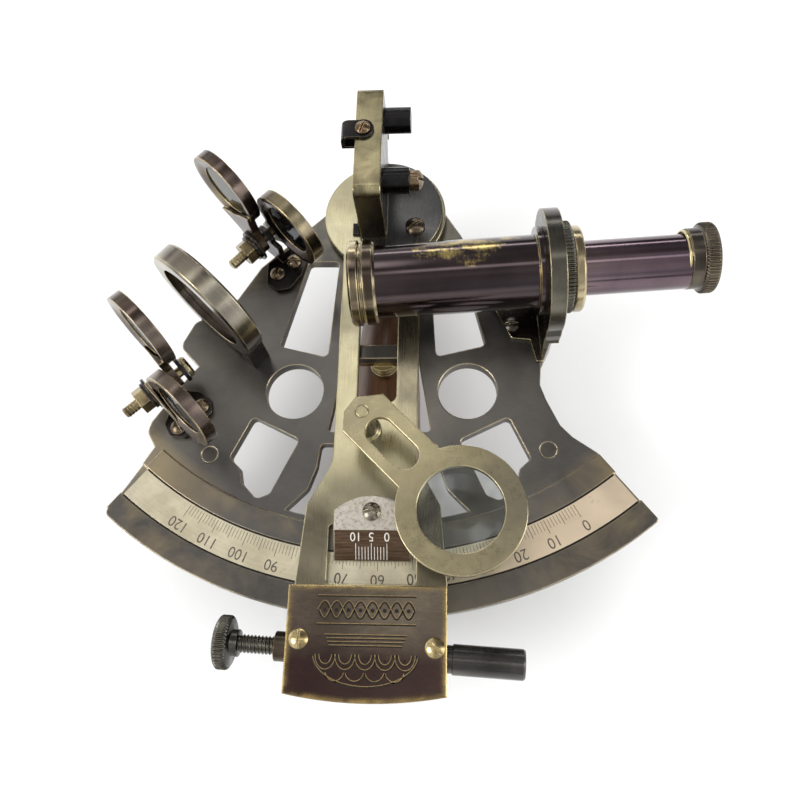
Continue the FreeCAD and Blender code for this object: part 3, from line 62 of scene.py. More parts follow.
# ------------------------------------------------------------------ node helpers
class Mat:
    """A small builder for node materials."""

    def __init__(self, name):
        self.m = bpy.data.materials.new(name)
        self.m.use_nodes = True
        self.t = self.m.node_tree
        self.t.nodes.clear()
        self.out = self.add("ShaderNodeOutputMaterial")
        self.co = self.add("ShaderNodeTexCoord").outputs["Object"]

    def add(self, kind, ins=None, **props):
        n = self.t.nodes.new(kind)
        for k, v in props.items():
            setattr(n, k, v)
        for k, v in (ins or {}).items():
            self.put(n.inputs[k], v)
        return n

    def put(self, sock, v):
        if isinstance(v, bpy.types.NodeSocket):
            self.t.links.new(v, sock)
        elif v is not None:
            sock.default_value = (tuple(v) + (1.0,)) if (hasattr(v, "__len__") and len(v) == 3 and sock.type == "RGBA") else v

    def noise(self, vec, scale, detail=4.0, rough=0.55, dist=0.0, out="Fac"):
        return self.add("ShaderNodeTexNoise", {"Vector": vec, "Scale": scale, "Detail": detail, "Roughness": rough, "Distortion": dist}).outputs[out]

    def ramp(self, fac, stops, interp="LINEAR"):
        n = self.add("ShaderNodeValToRGB", {"Fac": fac})
        n.color_ramp.interpolation = interp
        e = n.color_ramp.elements
        while len(e) < len(stops):
            e.new(0.5)
        for k, (p, c) in enumerate(stops):
            e[k].position = p
            e[k].color = tuple(c) + (1.0,) if len(c) == 3 else tuple(c)
        return n.outputs["Color"]

    def mix(self, fac, a, b, blend="MIX"):
        n = self.add("ShaderNodeMix", data_type="RGBA", blend_type=blend)
        self.put(n.inputs[0], fac)
        self.put(n.inputs[6], a)
        self.put(n.inputs[7], b)
        return n.outputs[2]

    def lerp(self, fac, a, b):
        n = self.add("ShaderNodeMix", data_type="FLOAT")
        self.put(n.inputs[0], fac)
        self.put(n.inputs[2], a)
        self.put(n.inputs[3], b)
        return n.outputs[0]

    def math(self, op, a, b=None, c=None, clamp=False):
        n = self.add("ShaderNodeMath", operation=op, use_clamp=clamp)
        for k, v in enumerate((a, b, c)):
            if v is not None:
                self.put(n.inputs[k], v)
        return n.outputs[0]

    def vmath(self, op, a, b=None, out=0):
        n = self.add("ShaderNodeVectorMath", operation=op)
        self.put(n.inputs[0], a)
        if b is not None:
            self.put(n.inputs[1], b)
        return n.outputs[out]

    def remap(self, v, a, b, c=0.0, d=1.0, smooth=False):
        n = self.add("ShaderNodeMapRange", {"Value": v, "From Min": a, "From Max": b, "To Min": c, "To Max": d}, clamp=True)
        if smooth:
            n.interpolation_type = "SMOOTHSTEP"
        return n.outputs[0]

    def stretch(self, scale):
        return self.vmath("MULTIPLY", self.co, scale)

    def turned(self, origin, d, k=(1.0, 1.0)):
        """(distance along the axis, radius, 0) about an axis, for lathe marks."""
        d = Vector(d).normalized()
        p = self.vmath("SUBTRACT", self.co, tuple(origin))
        s = self.vmath("DOT_PRODUCT", p, tuple(d), out=1)
        ax = self.add("ShaderNodeVectorMath", {0: tuple(d), "Scale": s}, operation="SCALE").outputs[0]
        r = self.vmath("LENGTH", self.vmath("SUBTRACT", p, ax), out=1)
        return self.add("ShaderNodeCombineXYZ", {0: self.math("MULTIPLY", s, k[0]), 1: self.math("MULTIPLY", r, k[1]), 2: 0.0}).outputs[0]

    def edge(self, width, lo=0.012, hi=0.16, samples=6):
        """(edge mask, rounded normal)."""
        b = self.add("ShaderNodeBevel", {"Radius": width}, samples=samples).outputs[0]
        g = self.add("ShaderNodeNewGeometry").outputs["Normal"]
        dot = self.vmath("DOT_PRODUCT", b, g, out=1)
        return self.remap(self.math("SUBTRACT", 1.0, dot), lo, hi), b

    def bump(self, height, strength, dist, normal=None):
        return self.add("ShaderNodeBump", {"Strength": strength, "Distance": dist, "Height": height, "Normal": normal}).outputs[0]

    def principled(self, **kw):
        n = self.add("ShaderNodeBsdfPrincipled")
        for k, v in kw.items():
            self.put(n.inputs[k.replace("_", " ")], v)
        self.t.links.new(n.outputs[0], self.out.inputs[0])
        return n


def metal(name, base, dark, light, patch=38.0, rough=(0.24, 0.40), brush=None, turned=None, edge_col=(0.78, 0.60, 0.33),
          edge_w=0.00045, edge_amt=0.9, brush_amt=0.10, grain=0.25, spots=0.0, spot_col=(0.05, 0.035, 0.03), flakes=None, tint=None,
          coat=0.0, soft=0.24, seed=0.0, bevel=6):
    """Aged metal: slow patina patches, brush or lathe marks, fine grain, dark spots, and wear to bright metal along edges."""
    g = Mat(name)
    off = g.vmath("ADD", g.co, (seed, seed * 0.7, seed * 1.3))
    p = g.noise(off, patch, 2.5, 0.5, 0.25)
    col = g.ramp(p, [(0.5 - soft, dark), (0.50, base), (0.5 + soft, light)])
    cloud = g.noise(off, patch * 4.5, 3.0, 0.6, 0.6)
    cv = g.remap(cloud, 0.3, 0.7, 0.90, 1.10)
    if turned is not None:
        v = g.turned(turned[0], turned[1], (5200.0, 5200.0))
        b = g.noise(v, 1.0, 3.0, 0.6)
    elif brush is not None:
        b = g.noise(g.stretch(brush), 1.0, 4.0, 0.65)
    else:
        b = g.noise(off, 900.0, 3.0, 0.6)
    bc = g.math("MULTIPLY", g.remap(b, 0.3, 0.7, 1.0 - brush_amt, 1.0 + brush_amt), cv)
    col = g.mix(1.0, col, g.add("ShaderNodeCombineColor", {0: bc, 1: bc, 2: bc}).outputs[0], "MULTIPLY")
    if tint is not None:
        col = tint(g, col, off)
    fine = g.noise(off, 2600.0, 2.0, 0.6)
    r = g.remap(g.noise(off, patch * 2.3, 4.0, 0.6), 0.32, 0.68, rough[0], rough[1])
    r = g.math("ADD", r, g.remap(b, 0.3, 0.7, -0.04, 0.04))
    if spots > 0:
        s = g.noise(off, 330.0, 4.0, 0.7)
        sm = g.remap(s, 0.66 - 0.12 * spots, 0.76, 0.0, 0.6)
        col = g.mix(sm, col, spot_col)
        r = g.lerp(sm, r, 0.5)
    mask, bn = g.edge(edge_w, samples=bevel)
    wear = g.remap(g.noise(off, 240.0, 4.0, 0.7), 0.30, 0.56, 0.35, 1.0)
    m = g.math("MULTIPLY", g.math("MULTIPLY", mask, wear), edge_amt, clamp=True)
    if flakes is not None:
        m = g.math("MAXIMUM", m, flakes(g), clamp=True)
    col = g.mix(m, col, edge_col)
    r = g.lerp(m, r, 0.24)
    h = g.math("ADD", g.math("MULTIPLY", b, 0.7), g.math("MULTIPLY", fine, 0.5))
    kw = {"Coat_Weight": coat, "Coat_Roughness": 0.06} if coat else {}
    g.principled(Base_Color=col, Metallic=1.0, Roughness=r, Normal=g.bump(h, grain, 0.00003, bn), **kw)
    return g.m


def pane(name, tint, gloss=0.09, mix_clear=1.0, rough=0.03, smudge=0.5, fres=0.9, wave=0.06):
    """Thin coloured or clear glass: tinted see-through with a polished surface and faint smudges."""
    g = Mat(name)
    sm = g.noise(g.co, 140.0, 5.0, 0.65, 0.8)
    t = g.mix(g.remap(sm, 0.3, 0.7), tuple(c * 0.86 for c in tint), tint)
    clear = g.add("ShaderNodeBsdfTransparent", {"Color": t}).outputs[0]
    r = g.remap(sm, 0.45, 0.75, rough, rough + 0.22 * smudge)
    n = g.bump(g.noise(g.co, 60.0, 2.0), wave, 0.0002)
    shine = g.add("ShaderNodeBsdfGlossy", {"Color": (0.9, 0.92, 0.95), "Roughness": r, "Normal": n}).outputs[0]
    body = clear
    if mix_clear < 1.0:
        solid = g.add("ShaderNodeBsdfDiffuse", {"Color": t}).outputs[0]
        ms = g.add("ShaderNodeMixShader", {0: mix_clear})
        g.t.links.new(solid, ms.inputs[1])
        g.t.links.new(clear, ms.inputs[2])
        body = ms.outputs[0]
    fr = g.add("ShaderNodeFresnel", {"IOR": 1.5, "Normal": n}).outputs[0]
    f = g.math("ADD", g.math("MULTIPLY", fr, fres), gloss * 0.3, clamp=True)
    mx = g.add("ShaderNodeMixShader", {0: f})
    g.t.links.new(body, mx.inputs[1])
    g.t.links.new(shine, mx.inputs[2])
    g.t.links.new(mx.outputs[0], g.out.inputs[0])
    return g.m


def mirror(name, tint, rough=0.04):
    g = Mat(name)
    sm = g.noise(g.co, 120.0, 5.0, 0.65, 0.6)
    fox = g.remap(g.noise(g.co, 420.0, 4.0, 0.7), 0.66, 0.78, 0.0, 0.7)
    mask, bn = g.edge(0.0006)
    col = g.mix(g.remap(sm, 0.3, 0.7), tuple(c * 0.8 for c in tint), tint)
    col = g.mix(g.math("MAXIMUM", fox, g.math("MULTIPLY", mask, 0.6)), col, (0.05, 0.045, 0.04))
    g.principled(Base_Color=col, Metallic=1.0, Roughness=g.remap(sm, 0.4, 0.8, rough, rough + 0.12),
                 Normal=g.bump(g.noise(g.co, 90.0, 2.0), 0.04, 0.0002))
    return g.m


def wood(name):
    g = Mat(name)
    v = g.stretch((170.0, 9.0, 170.0))
    a = g.noise(v, 1.0, 6.0, 0.62, 0.9)
    rings = g.add("ShaderNodeTexWave", {"Vector": g.stretch((260.0, 10.0, 260.0)), "Scale": 0.8, "Distortion": 6.0, "Detail": 3.0,
                                        "Detail Scale": 0.6}, wave_type="RINGS", rings_direction="Y").outputs["Fac"]
    pores = g.noise(g.stretch((2600.0, 160.0, 2600.0)), 1.0, 2.0, 0.6)
    col = g.ramp(a, [(0.25, (0.050, 0.018, 0.007)), (0.48, (0.135, 0.055, 0.020)), (0.72, (0.25, 0.115, 0.045))])
    col = g.mix(g.math("MULTIPLY", rings, 0.35), col, (0.040, 0.014, 0.006))
    col = g.mix(g.remap(pores, 0.60, 0.72, 0.0, 0.75), col, (0.018, 0.008, 0.004))
    g.principled(Base_Color=col, Roughness=g.remap(a, 0.3, 0.7, 0.30, 0.46), Coat_Weight=0.35, Coat_Roughness=0.22,
                 Normal=g.bump(g.math("ADD", g.math("MULTIPLY", a, 0.4), g.math("MULTIPLY", pores, -0.8)), 0.35, 0.00025))
    return g.m


def paint(name, col, col2, rough=0.5, metallic=0.0, scale=900.0):
    """Filled engraving: two tones broken up by noise."""
    g = Mat(name)
    n = g.noise(g.co, scale, 4.0, 0.7)
    c = g.mix(g.remap(n, 0.38, 0.62), col, col2)
    g.principled(Base_Color=c, Metallic=metallic, Roughness=g.remap(n, 0.3, 0.7, rough - 0.1, rough + 0.1), Normal=g.bump(n, 0.3, 0.00003))
    return g.m


# ------------------------------------------------------------------ places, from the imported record
def joint_axis(name):
    j = JOINTS[name]
    return Vector(j.get("pos_m") or (0, 0, 0)), Vector(j["axis"]).normalized()


TAN_O, TAN_D = joint_axis("tangent_screw_turn")
SCOPE_D = Vector(JOINTS["focus_slide"]["axis"]).normalized()
tube_lo, tube_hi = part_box("telescope_tube")
SCOPE_O = (tube_lo + tube_hi) / 2
SCOPE_O = Vector((0.0, SCOPE_O.y - SCOPE_D.y / SCOPE_D.x * SCOPE_O.x, (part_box("draw_tube")[0].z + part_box("draw_tube")[1].z) / 2))
IDX_O, IDX_D = joint_axis("index_shade_a_swing")
HOR_O, HOR_D = joint_axis("horizon_shade_a_swing")

# ------------------------------------------------------------------ materials
GOLD = (0.80, 0.60, 0.30)
PALE = (0.86, 0.72, 0.46)
M = {}


def radius_tint(g, col, off):
    """Yellow rubbed zones on the limb: beside the ledge and towards both ends."""
    q = g.add("ShaderNodeSeparateXYZ", {0: g.co})
    r = g.vmath("LENGTH", g.add("ShaderNodeCombineXYZ", {0: q.outputs[0], 1: q.outputs[1], 2: 0.0}).outputs[0], out=1)
    n = g.noise(off, 75.0, 4.0, 0.65, 0.5)
    near = g.math("MULTIPLY", g.remap(r, 0.0822, 0.0832), g.remap(r, 0.0882, 0.0845))
    ends = g.remap(g.math("ABSOLUTE", q.outputs[0]), 0.034, 0.056)
    z = g.math("MULTIPLY", g.remap(r, 0.0795, 0.0825), ends)
    m = g.math("MAXIMUM", g.math("MULTIPLY", near, g.remap(n, 0.44, 0.68, 0.0, 0.38)), g.math("MULTIPLY", z, g.remap(n, 0.36, 0.58, 0.0, 0.80)))
    col = g.mix(m, col, (0.36, 0.285, 0.165))
    limb = g.math("MULTIPLY", g.remap(r, 0.0955, 0.0970), 0.65)
    tops = g.math("MULTIPLY", g.remap(q.outputs[1], -0.040, -0.010), g.remap(n, 0.44, 0.62, 0.0, 0.55))
    col = g.mix(tops, col, (0.300, 0.270, 0.195))
    return g.mix(limb, col, g.ramp(n, [(0.35, (0.070, 0.064, 0.060)), (0.65, (0.150, 0.130, 0.100))]))


def arm_tint(g, col, off):
    """The flared lower part of the arm has kept its dark patina; the middle is rubbed yellow; the right rail towards
    the head carries a painted shadow of the telescope.
    """
    q = g.add("ShaderNodeSeparateXYZ", {0: g.co})
    n = g.noise(off, 60.0, 3.0, 0.6, 0.5)
    low = g.remap(g.math("ADD", q.outputs[1], g.math("MULTIPLY", n, 0.022)), -0.0600, -0.0720)
    side = g.remap(g.math("ABSOLUTE", g.math("ADD", q.outputs[0], 0.0005)), 0.0075, 0.0110)
    m = g.math("MULTIPLY", low, g.lerp(side, 0.55, 1.0))
    col = g.mix(g.math("MULTIPLY", m, 0.86), col, g.ramp(n, [(0.35, (0.085, 0.072, 0.056)), (0.62, (0.180, 0.155, 0.115))]))
    head = g.math("MULTIPLY", g.remap(q.outputs[1], -0.018, 0.0), g.remap(n, 0.40, 0.62, 0.0, 0.5))
    col = g.mix(head, col, (0.30, 0.285, 0.23))
    # painted shadow of the telescope: the right rail, from the vernier up to the head, is mixed towards dark brown in
    # noisy patches
    rail_scope_shadow = g.math("MULTIPLY", g.remap(q.outputs[0], 0.0035, 0.0050), g.remap(q.outputs[1], -0.060, -0.052))
    return g.mix(g.math("MULTIPLY", rail_scope_shadow, g.remap(n, 0.36, 0.60, 0.85, 0.35)), col, (0.165, 0.145, 0.110))


def scale_tint(g, col, off):
    """The right end of the scale is cleaner and a little redder."""
    q = g.add("ShaderNodeSeparateXYZ", {0: g.co})
    return g.mix(g.remap(q.outputs[0], 0.010, 0.045, 0.0, 0.85), col, (0.90, 0.73, 0.54))


def cover_tint(g, col, off):
    """Darker and redder towards the free edge, yellow wear creeping in from the rim."""
    q = g.add("ShaderNodeSeparateXYZ", {0: g.co})
    n = g.noise(off, 110.0, 4.0, 0.65, 0.7)
    low = g.remap(g.math("ADD", q.outputs[1], g.math("MULTIPLY", n, 0.006)), -0.1035, -0.1090)
    col = g.mix(g.math("MULTIPLY", low, 0.85), col, (0.040, 0.022, 0.022))
    mask, bn = g.edge(0.0022, 0.004, 0.10, 6)
    rim = g.math("MULTIPLY", mask, g.remap(n, 0.36, 0.60, 0.10, 0.90), clamp=True)
    return g.mix(rim, col, (0.46, 0.33, 0.125))


def strip_tint(g, col, off):
    """The mirror frame: dark brown clouds over olive brass, and painted shade on the faces that stand upright."""
    n = g.noise(g.vmath("MULTIPLY", off, (1.0, 1.0, 0.6)), 95.0, 3.0, 0.6, 0.6)
    big = g.noise(off, 42.0, 2.0, 0.5, 0.4)
    n = g.math("ADD", g.math("MULTIPLY", n, 0.5), g.math("MULTIPLY", big, 0.5))
    col = g.mix(g.remap(n, 0.44, 0.58, 0.0, 0.9), col, (0.070, 0.052, 0.036))
    # painted shade: the steeper the face (normal z from 0.8 down to 0.4), the more it is mixed towards dark brown
    nz = g.add("ShaderNodeSeparateXYZ", {0: g.add("ShaderNodeNewGeometry").outputs["True Normal"]})
    return g.mix(g.math("MULTIPLY", g.remap(nz.outputs[2], 0.8, 0.4), 0.85), col, (0.050, 0.040, 0.032))


M["frame"] = metal("bronze_plate", (0.135, 0.128, 0.120), (0.092, 0.087, 0.084), (0.205, 0.190, 0.165), 26.0, (0.30, 0.42),
                   brush=(500.0, 2400.0, 2400.0), edge_col=PALE, edge_w=0.00055, brush_amt=0.05, grain=0.14, spots=0.0, tint=radius_tint)
M["leg"] = metal("leg_bronze", (0.120, 0.112, 0.100), (0.080, 0.074, 0.068), (0.200, 0.180, 0.140), 40.0, (0.26, 0.40),
                 brush=(240.0, 240.0, 4600.0), edge_col=PALE, edge_w=0.0004, brush_amt=0.08, grain=0.16, seed=0.05)
M["arm"] = metal("arm_brass", (0.520, 0.472, 0.305), (0.300, 0.270, 0.190), (0.720, 0.655, 0.430), 30.0, (0.24, 0.34),
                 brush=(4200.0, 160.0, 4200.0), edge_col=(0.92, 0.80, 0.52), edge_w=0.0005, brush_amt=0.07, grain=0.16, spots=0.0, seed=0.31,
                 tint=arm_tint)
M["magnifier"] = metal("magnifier_brass", (0.345, 0.300, 0.185), (0.235, 0.210, 0.150), (0.450, 0.395, 0.240), 40.0, (0.24, 0.34),
                       brush=(700.0, 900.0, 900.0), edge_col=(0.92, 0.80, 0.50), edge_w=0.0004, edge_amt=0.7, brush_amt=0.03, grain=0.05, spots=0.0, seed=0.93,
                       bevel=10)
M["strip"] = metal("mirror_strip_brass", (0.340, 0.305, 0.185), (0.17, 0.150, 0.105), (0.500, 0.440, 0.255), 55.0, (0.22, 0.32),
                   brush=(3600.0, 200.0, 3600.0), edge_col=(0.90, 0.76, 0.44), brush_amt=0.08, grain=0.16, seed=0.55, tint=strip_tint)
M["foot"] = metal("gunmetal_foot", (0.125, 0.123, 0.122), (0.070, 0.068, 0.070), (0.270, 0.262, 0.250), 50.0, (0.22, 0.34),
                  brush=(3000.0, 180.0, 3000.0), edge_col=PALE, brush_amt=0.12, grain=0.2, spots=0.0, seed=0.2)
M["black"] = metal("black_oxide", (0.026, 0.025, 0.026), (0.015, 0.014, 0.014), (0.055, 0.050, 0.046), 90.0, (0.22, 0.34),
                   edge_col=(0.34, 0.28, 0.19), edge_w=0.00025, edge_amt=0.7, brush_amt=0.12, grain=0.2, seed=0.4)
M["bracket"] = metal("bracket_bronze", (0.038, 0.034, 0.034), (0.020, 0.018, 0.018), (0.070, 0.063, 0.056), 80.0, (0.22, 0.34),
                     edge_col=(0.42, 0.34, 0.21), edge_w=0.00022, edge_amt=0.6, brush_amt=0.12, grain=0.2, seed=0.7)
M["holder"] = metal("holder_bronze", (0.102, 0.095, 0.080), (0.044, 0.041, 0.037), (0.225, 0.205, 0.155), 48.0, (0.18, 0.30),
                    turned=(SCOPE_O, SCOPE_D), edge_col=(0.86, 0.72, 0.42), edge_w=0.00035, brush_amt=0.07, grain=0.12, seed=0.15)
M["hring"] = metal("horizon_ring_bronze", (0.190, 0.168, 0.138), (0.070, 0.052, 0.055), (0.430, 0.395, 0.300), 36.0, (0.16, 0.26),
                   turned=((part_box("horizon_mirror_ring")[0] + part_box("horizon_mirror_ring")[1]) / 2, (math.cos(math.radians(48.8)), math.sin(math.radians(48.8)), 0)),
                   edge_col=(0.88, 0.74, 0.44), edge_w=0.0004, brush_amt=0.08, grain=0.14, soft=0.15, seed=0.5)
for key, seed in (("a", 0.11), ("b", 0.37)):
    for tag, o, d, l in (("index", IDX_O, IDX_D, (0.26, 0.22, 0.125)), ("horizon", HOR_O, HOR_D, (0.26, 0.22, 0.18))):
        c = (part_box("%s_shade_%s_glass" % (tag, key))[0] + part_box("%s_shade_%s_glass" % (tag, key))[1]) / 2
        M["rim_%s_%s" % (tag, key)] = metal("%s_rim_%s" % (tag, key), (0.115, 0.088, 0.072), (0.042, 0.027, 0.030), l, 70.0, (0.16, 0.28),
                                            turned=(c, d), edge_col=(0.82, 0.66, 0.35), edge_w=0.00045, brush_amt=0.08, grain=0.14, soft=0.17, seed=seed)


def tube_flakes(g):
    """Lacquer rubbed through to yellow metal along the top of the tube."""
    x = g.add("ShaderNodeSeparateXYZ", {0: g.vmath("SUBTRACT", g.co, tuple(SCOPE_O))})
    on_x = g.math("MULTIPLY", g.remap(x.outputs[0], 0.0020, 0.0090), g.remap(x.outputs[0], 0.0340, 0.0250))
    on_y = g.math("MULTIPLY", g.remap(x.outputs[1], -0.0048, 0.0015), g.remap(x.outputs[2], 0.0010, 0.0050))
    top = g.math("MULTIPLY", g.remap(x.outputs[1], 0.0040, 0.0064), g.remap(x.outputs[0], 0.044, 0.030))
    big = g.noise(g.vmath("MULTIPLY", g.co, (0.75, 1.9, 1.9)), 150.0, 5.0, 0.66)
    small = g.noise(g.vmath("MULTIPLY", g.co, (2.2, 1.0, 1.0)), 700.0, 4.0, 0.75)
    f = g.math("ADD", g.math("MULTIPLY", big, 0.68), g.math("MULTIPLY", small, 0.32))
    area = g.math("MAXIMUM", g.math("MULTIPLY", on_x, on_y), g.math("MULTIPLY", top, 0.75))
    return g.math("MULTIPLY", g.remap(g.math("SUBTRACT", f, g.math("MULTIPLY", g.math("SUBTRACT", 1.0, area), 0.30)), 0.46, 0.60), 0.80)


M["tube"] = metal("tube_lacquer", (0.066, 0.046, 0.049), (0.040, 0.029, 0.032), (0.104, 0.076, 0.075), 28.0, (0.10, 0.18),
                  turned=(SCOPE_O, SCOPE_D), edge_col=(0.60, 0.46, 0.16), edge_w=0.00035, edge_amt=0.7, brush_amt=0.05, grain=0.08, flakes=tube_flakes,
                  coat=0.35)
M["draw"] = metal("draw_lacquer", (0.130, 0.088, 0.104), (0.080, 0.052, 0.066), (0.185, 0.136, 0.142), 34.0, (0.10, 0.18),
                  turned=(SCOPE_O, SCOPE_D), edge_col=(0.74, 0.60, 0.32), edge_w=0.00035, edge_amt=0.7, brush_amt=0.05, grain=0.08, coat=0.35, seed=0.27)


def cell_tint(g, col, off):
    """A dark band in front of the bright shoulder of the objective cell."""
    p = g.vmath("SUBTRACT", g.co, tuple(SCOPE_O))
    s = g.vmath("DOT_PRODUCT", p, tuple(SCOPE_D), out=1)
    m = g.math("MULTIPLY", g.remap(s, -0.0028, -0.0022), g.remap(s, -0.0002, -0.0008))
    return g.mix(g.math("MULTIPLY", m, 0.8), col, (0.060, 0.046, 0.038))


M["cell"] = metal("objective_brass", (0.290, 0.238, 0.155), (0.070, 0.052, 0.042), (0.560, 0.470, 0.300), 80.0, (0.12, 0.22),
                  turned=(SCOPE_O, SCOPE_D), edge_col=(0.92, 0.78, 0.46), edge_w=0.0004, brush_amt=0.10, grain=0.12, soft=0.12, seed=0.6, tint=cell_tint)
M["collar"] = metal("collar_brass", (0.400, 0.330, 0.205), (0.17, 0.130, 0.085), (0.70, 0.60, 0.38), 80.0, (0.14, 0.24),
                    turned=(SCOPE_O, SCOPE_D), edge_col=(0.95, 0.82, 0.50), brush_amt=0.10, grain=0.14, seed=0.9)


def cap_tint(g, col, off):
    """A thin bright ring where the eyepiece meets the draw tube."""
    s = g.vmath("DOT_PRODUCT", g.vmath("SUBTRACT", g.co, tuple(SCOPE_O)), tuple(SCOPE_D), out=1)
    m = g.math("MULTIPLY", g.remap(s, 0.07095, 0.07088), g.remap(s, 0.0690, 0.0692))
    return g.mix(m, col, (0.58, 0.50, 0.28))


M["cap"] = metal("eyecup_bronze", (0.072, 0.062, 0.054), (0.032, 0.028, 0.026), (0.150, 0.130, 0.100), 80.0, (0.18, 0.30),
                 turned=(SCOPE_O, SCOPE_D), edge_col=(0.66, 0.54, 0.32), edge_w=0.0003, edge_amt=0.7, brush_amt=0.07, grain=0.14, seed=0.44, tint=cap_tint)
M["knurl"] = metal("knurled_black", (0.088, 0.084, 0.074), (0.045, 0.043, 0.039), (0.160, 0.152, 0.126), 120.0, (0.20, 0.32),
                   edge_col=(0.46, 0.42, 0.31), edge_w=0.00018, edge_amt=0.8, brush_amt=0.12, grain=0.2, seed=0.8)
M["screw"] = metal("screw_brass", (0.44, 0.350, 0.185), (0.24, 0.175, 0.10), (0.62, 0.52, 0.30), 240.0, (0.16, 0.28),
                   brush=(1200.0, 3600.0, 2600.0), edge_col=(0.95, 0.82, 0.50), edge_w=0.0002, brush_amt=0.12, grain=0.18, spots=0.2, seed=0.66)
M["dark_screw"] = metal("screw_bronze", (0.23, 0.165, 0.105), (0.10, 0.068, 0.048), (0.42, 0.33, 0.215), 260.0, (0.18, 0.30),
                        brush=(1200.0, 3600.0, 2600.0), edge_col=(0.82, 0.66, 0.38), edge_w=0.0002, brush_amt=0.15, grain=0.2, spots=0.2, seed=0.16)


def arm_screw_tint(g, col, off):
    """Screws age with their place: copper at the clip, steel on the vernier, yellow on the cover."""
    q = g.add("ShaderNodeSeparateXYZ", {0: g.co})
    n = g.noise(off, 500.0, 3.0, 0.6)
    col = g.mix(g.math("MULTIPLY", g.remap(q.outputs[2], 0.048, 0.050), 0.85), col, g.ramp(n, [(0.38, (0.11, 0.062, 0.042)), (0.62, (0.26, 0.165, 0.105))]))
    ver = g.math("MULTIPLY", g.remap(q.outputs[1], -0.095, -0.094), g.remap(q.outputs[1], -0.066, -0.067))
    return g.mix(g.math("MULTIPLY", ver, 0.85), col, g.ramp(n, [(0.38, (0.12, 0.112, 0.105)), (0.62, (0.34, 0.315, 0.27))]))


def bracket_screw_tint(g, col, off):
    """The screws under the telescope holder are black, the ones on the shade brackets brown."""
    q = g.add("ShaderNodeSeparateXYZ", {0: g.co})
    return g.mix(g.math("MULTIPLY", g.remap(q.outputs[0], 0.018, 0.020), 0.9), col, (0.055, 0.050, 0.045))


M["arm_screw"] = metal("screw_arm_brass", (0.40, 0.310, 0.150), (0.20, 0.145, 0.075), (0.60, 0.490, 0.270), 260.0, (0.16, 0.28),
                       brush=(1200.0, 3600.0, 2600.0), edge_col=(0.95, 0.82, 0.50), edge_w=0.0002, brush_amt=0.12, grain=0.18, spots=0.2, seed=0.67,
                       tint=arm_screw_tint)
M["bracket_screw"] = metal("screw_bracket_bronze", (0.155, 0.118, 0.080), (0.070, 0.052, 0.038), (0.30, 0.240, 0.160), 260.0, (0.18, 0.30),
                           brush=(1200.0, 3600.0, 2600.0), edge_col=(0.70, 0.56, 0.34), edge_w=0.0002, brush_amt=0.15, grain=0.2, spots=0.2, seed=0.17,
                           tint=bracket_screw_tint)
M["foot_screw"] = metal("screw_foot_bronze", (0.120, 0.090, 0.062), (0.058, 0.042, 0.032), (0.250, 0.195, 0.130), 280.0, (0.18, 0.30),
                        brush=(1200.0, 3600.0, 2600.0), edge_col=(0.64, 0.52, 0.32), edge_w=0.0002, brush_amt=0.15, grain=0.2, spots=0.2, seed=0.57)
M["box"] = metal("box_bronze", (0.085, 0.068, 0.050), (0.040, 0.032, 0.026), (0.175, 0.142, 0.095), 60.0, (0.22, 0.34),
                 brush=(300.0, 300.0, 3600.0), edge_col=(0.62, 0.48, 0.26), edge_w=0.00035, edge_amt=0.7, brush_amt=0.08, grain=0.15, seed=0.38)
M["sleeve"] = metal("sleeve_black", (0.095, 0.091, 0.086), (0.055, 0.052, 0.049), (0.165, 0.158, 0.142), 60.0, (0.20, 0.30),
                    brush=(240.0, 3200.0, 3200.0), edge_col=(0.46, 0.40, 0.29), edge_w=0.00025, edge_amt=0.8, brush_amt=0.10, grain=0.16, seed=0.21)
M["turned"] = metal("turned_brass", (0.36, 0.290, 0.150), (0.21, 0.160, 0.085), (0.50, 0.415, 0.230), 50.0, (0.20, 0.32),
                    brush=(240.0, 240.0, 4600.0), edge_col=(0.90, 0.76, 0.44), brush_amt=0.10, grain=0.18, spots=0.1, seed=0.72)
M["housing"] = metal("housing_bronze", (0.105, 0.095, 0.080), (0.055, 0.049, 0.043), (0.200, 0.178, 0.135), 60.0, (0.24, 0.36),
                     brush=(240.0, 240.0, 4600.0), edge_col=(0.78, 0.64, 0.38), brush_amt=0.08, grain=0.16, seed=0.48)
M["nut"] = metal("nut_brass", (0.270, 0.215, 0.120), (0.12, 0.090, 0.055), (0.44, 0.365, 0.210), 220.0, (0.18, 0.30),
                 edge_col=(0.92, 0.78, 0.46), edge_w=0.0003, brush_amt=0.12, grain=0.2, spots=0.2, seed=0.35)
M["steel"] = metal("plain_steel", (0.38, 0.37, 0.36), (0.26, 0.25, 0.24), (0.50, 0.49, 0.47), 90.0, (0.24, 0.38),
                   brush=(2000.0, 2000.0, 300.0), edge_col=(0.8, 0.78, 0.74), brush_amt=0.10, grain=0.2, seed=0.22)
M["cover"] = metal("cover_bronze", (0.112, 0.089, 0.070), (0.054, 0.036, 0.030), (0.190, 0.158, 0.118), 46.0, (0.20, 0.32),
                   brush=(420.0, 2600.0, 2600.0), edge_col=(0.78, 0.60, 0.29), edge_w=0.0006, brush_amt=0.06, grain=0.14, spots=0.0, seed=0.83,
                   tint=cover_tint)
M["scale"] = metal("silvered_arc", (0.600, 0.548, 0.405), (0.46, 0.405, 0.285), (0.70, 0.655, 0.520), 60.0, (0.30, 0.42),
                   turned=((0, 0, 0), (0, 0, 1)), edge_col=(0.80, 0.74, 0.60), edge_w=0.00012, edge_amt=0.5, brush_amt=0.05, grain=0.20, spots=0.25,
                   spot_col=(0.36, 0.28, 0.19), seed=0.12, tint=scale_tint)


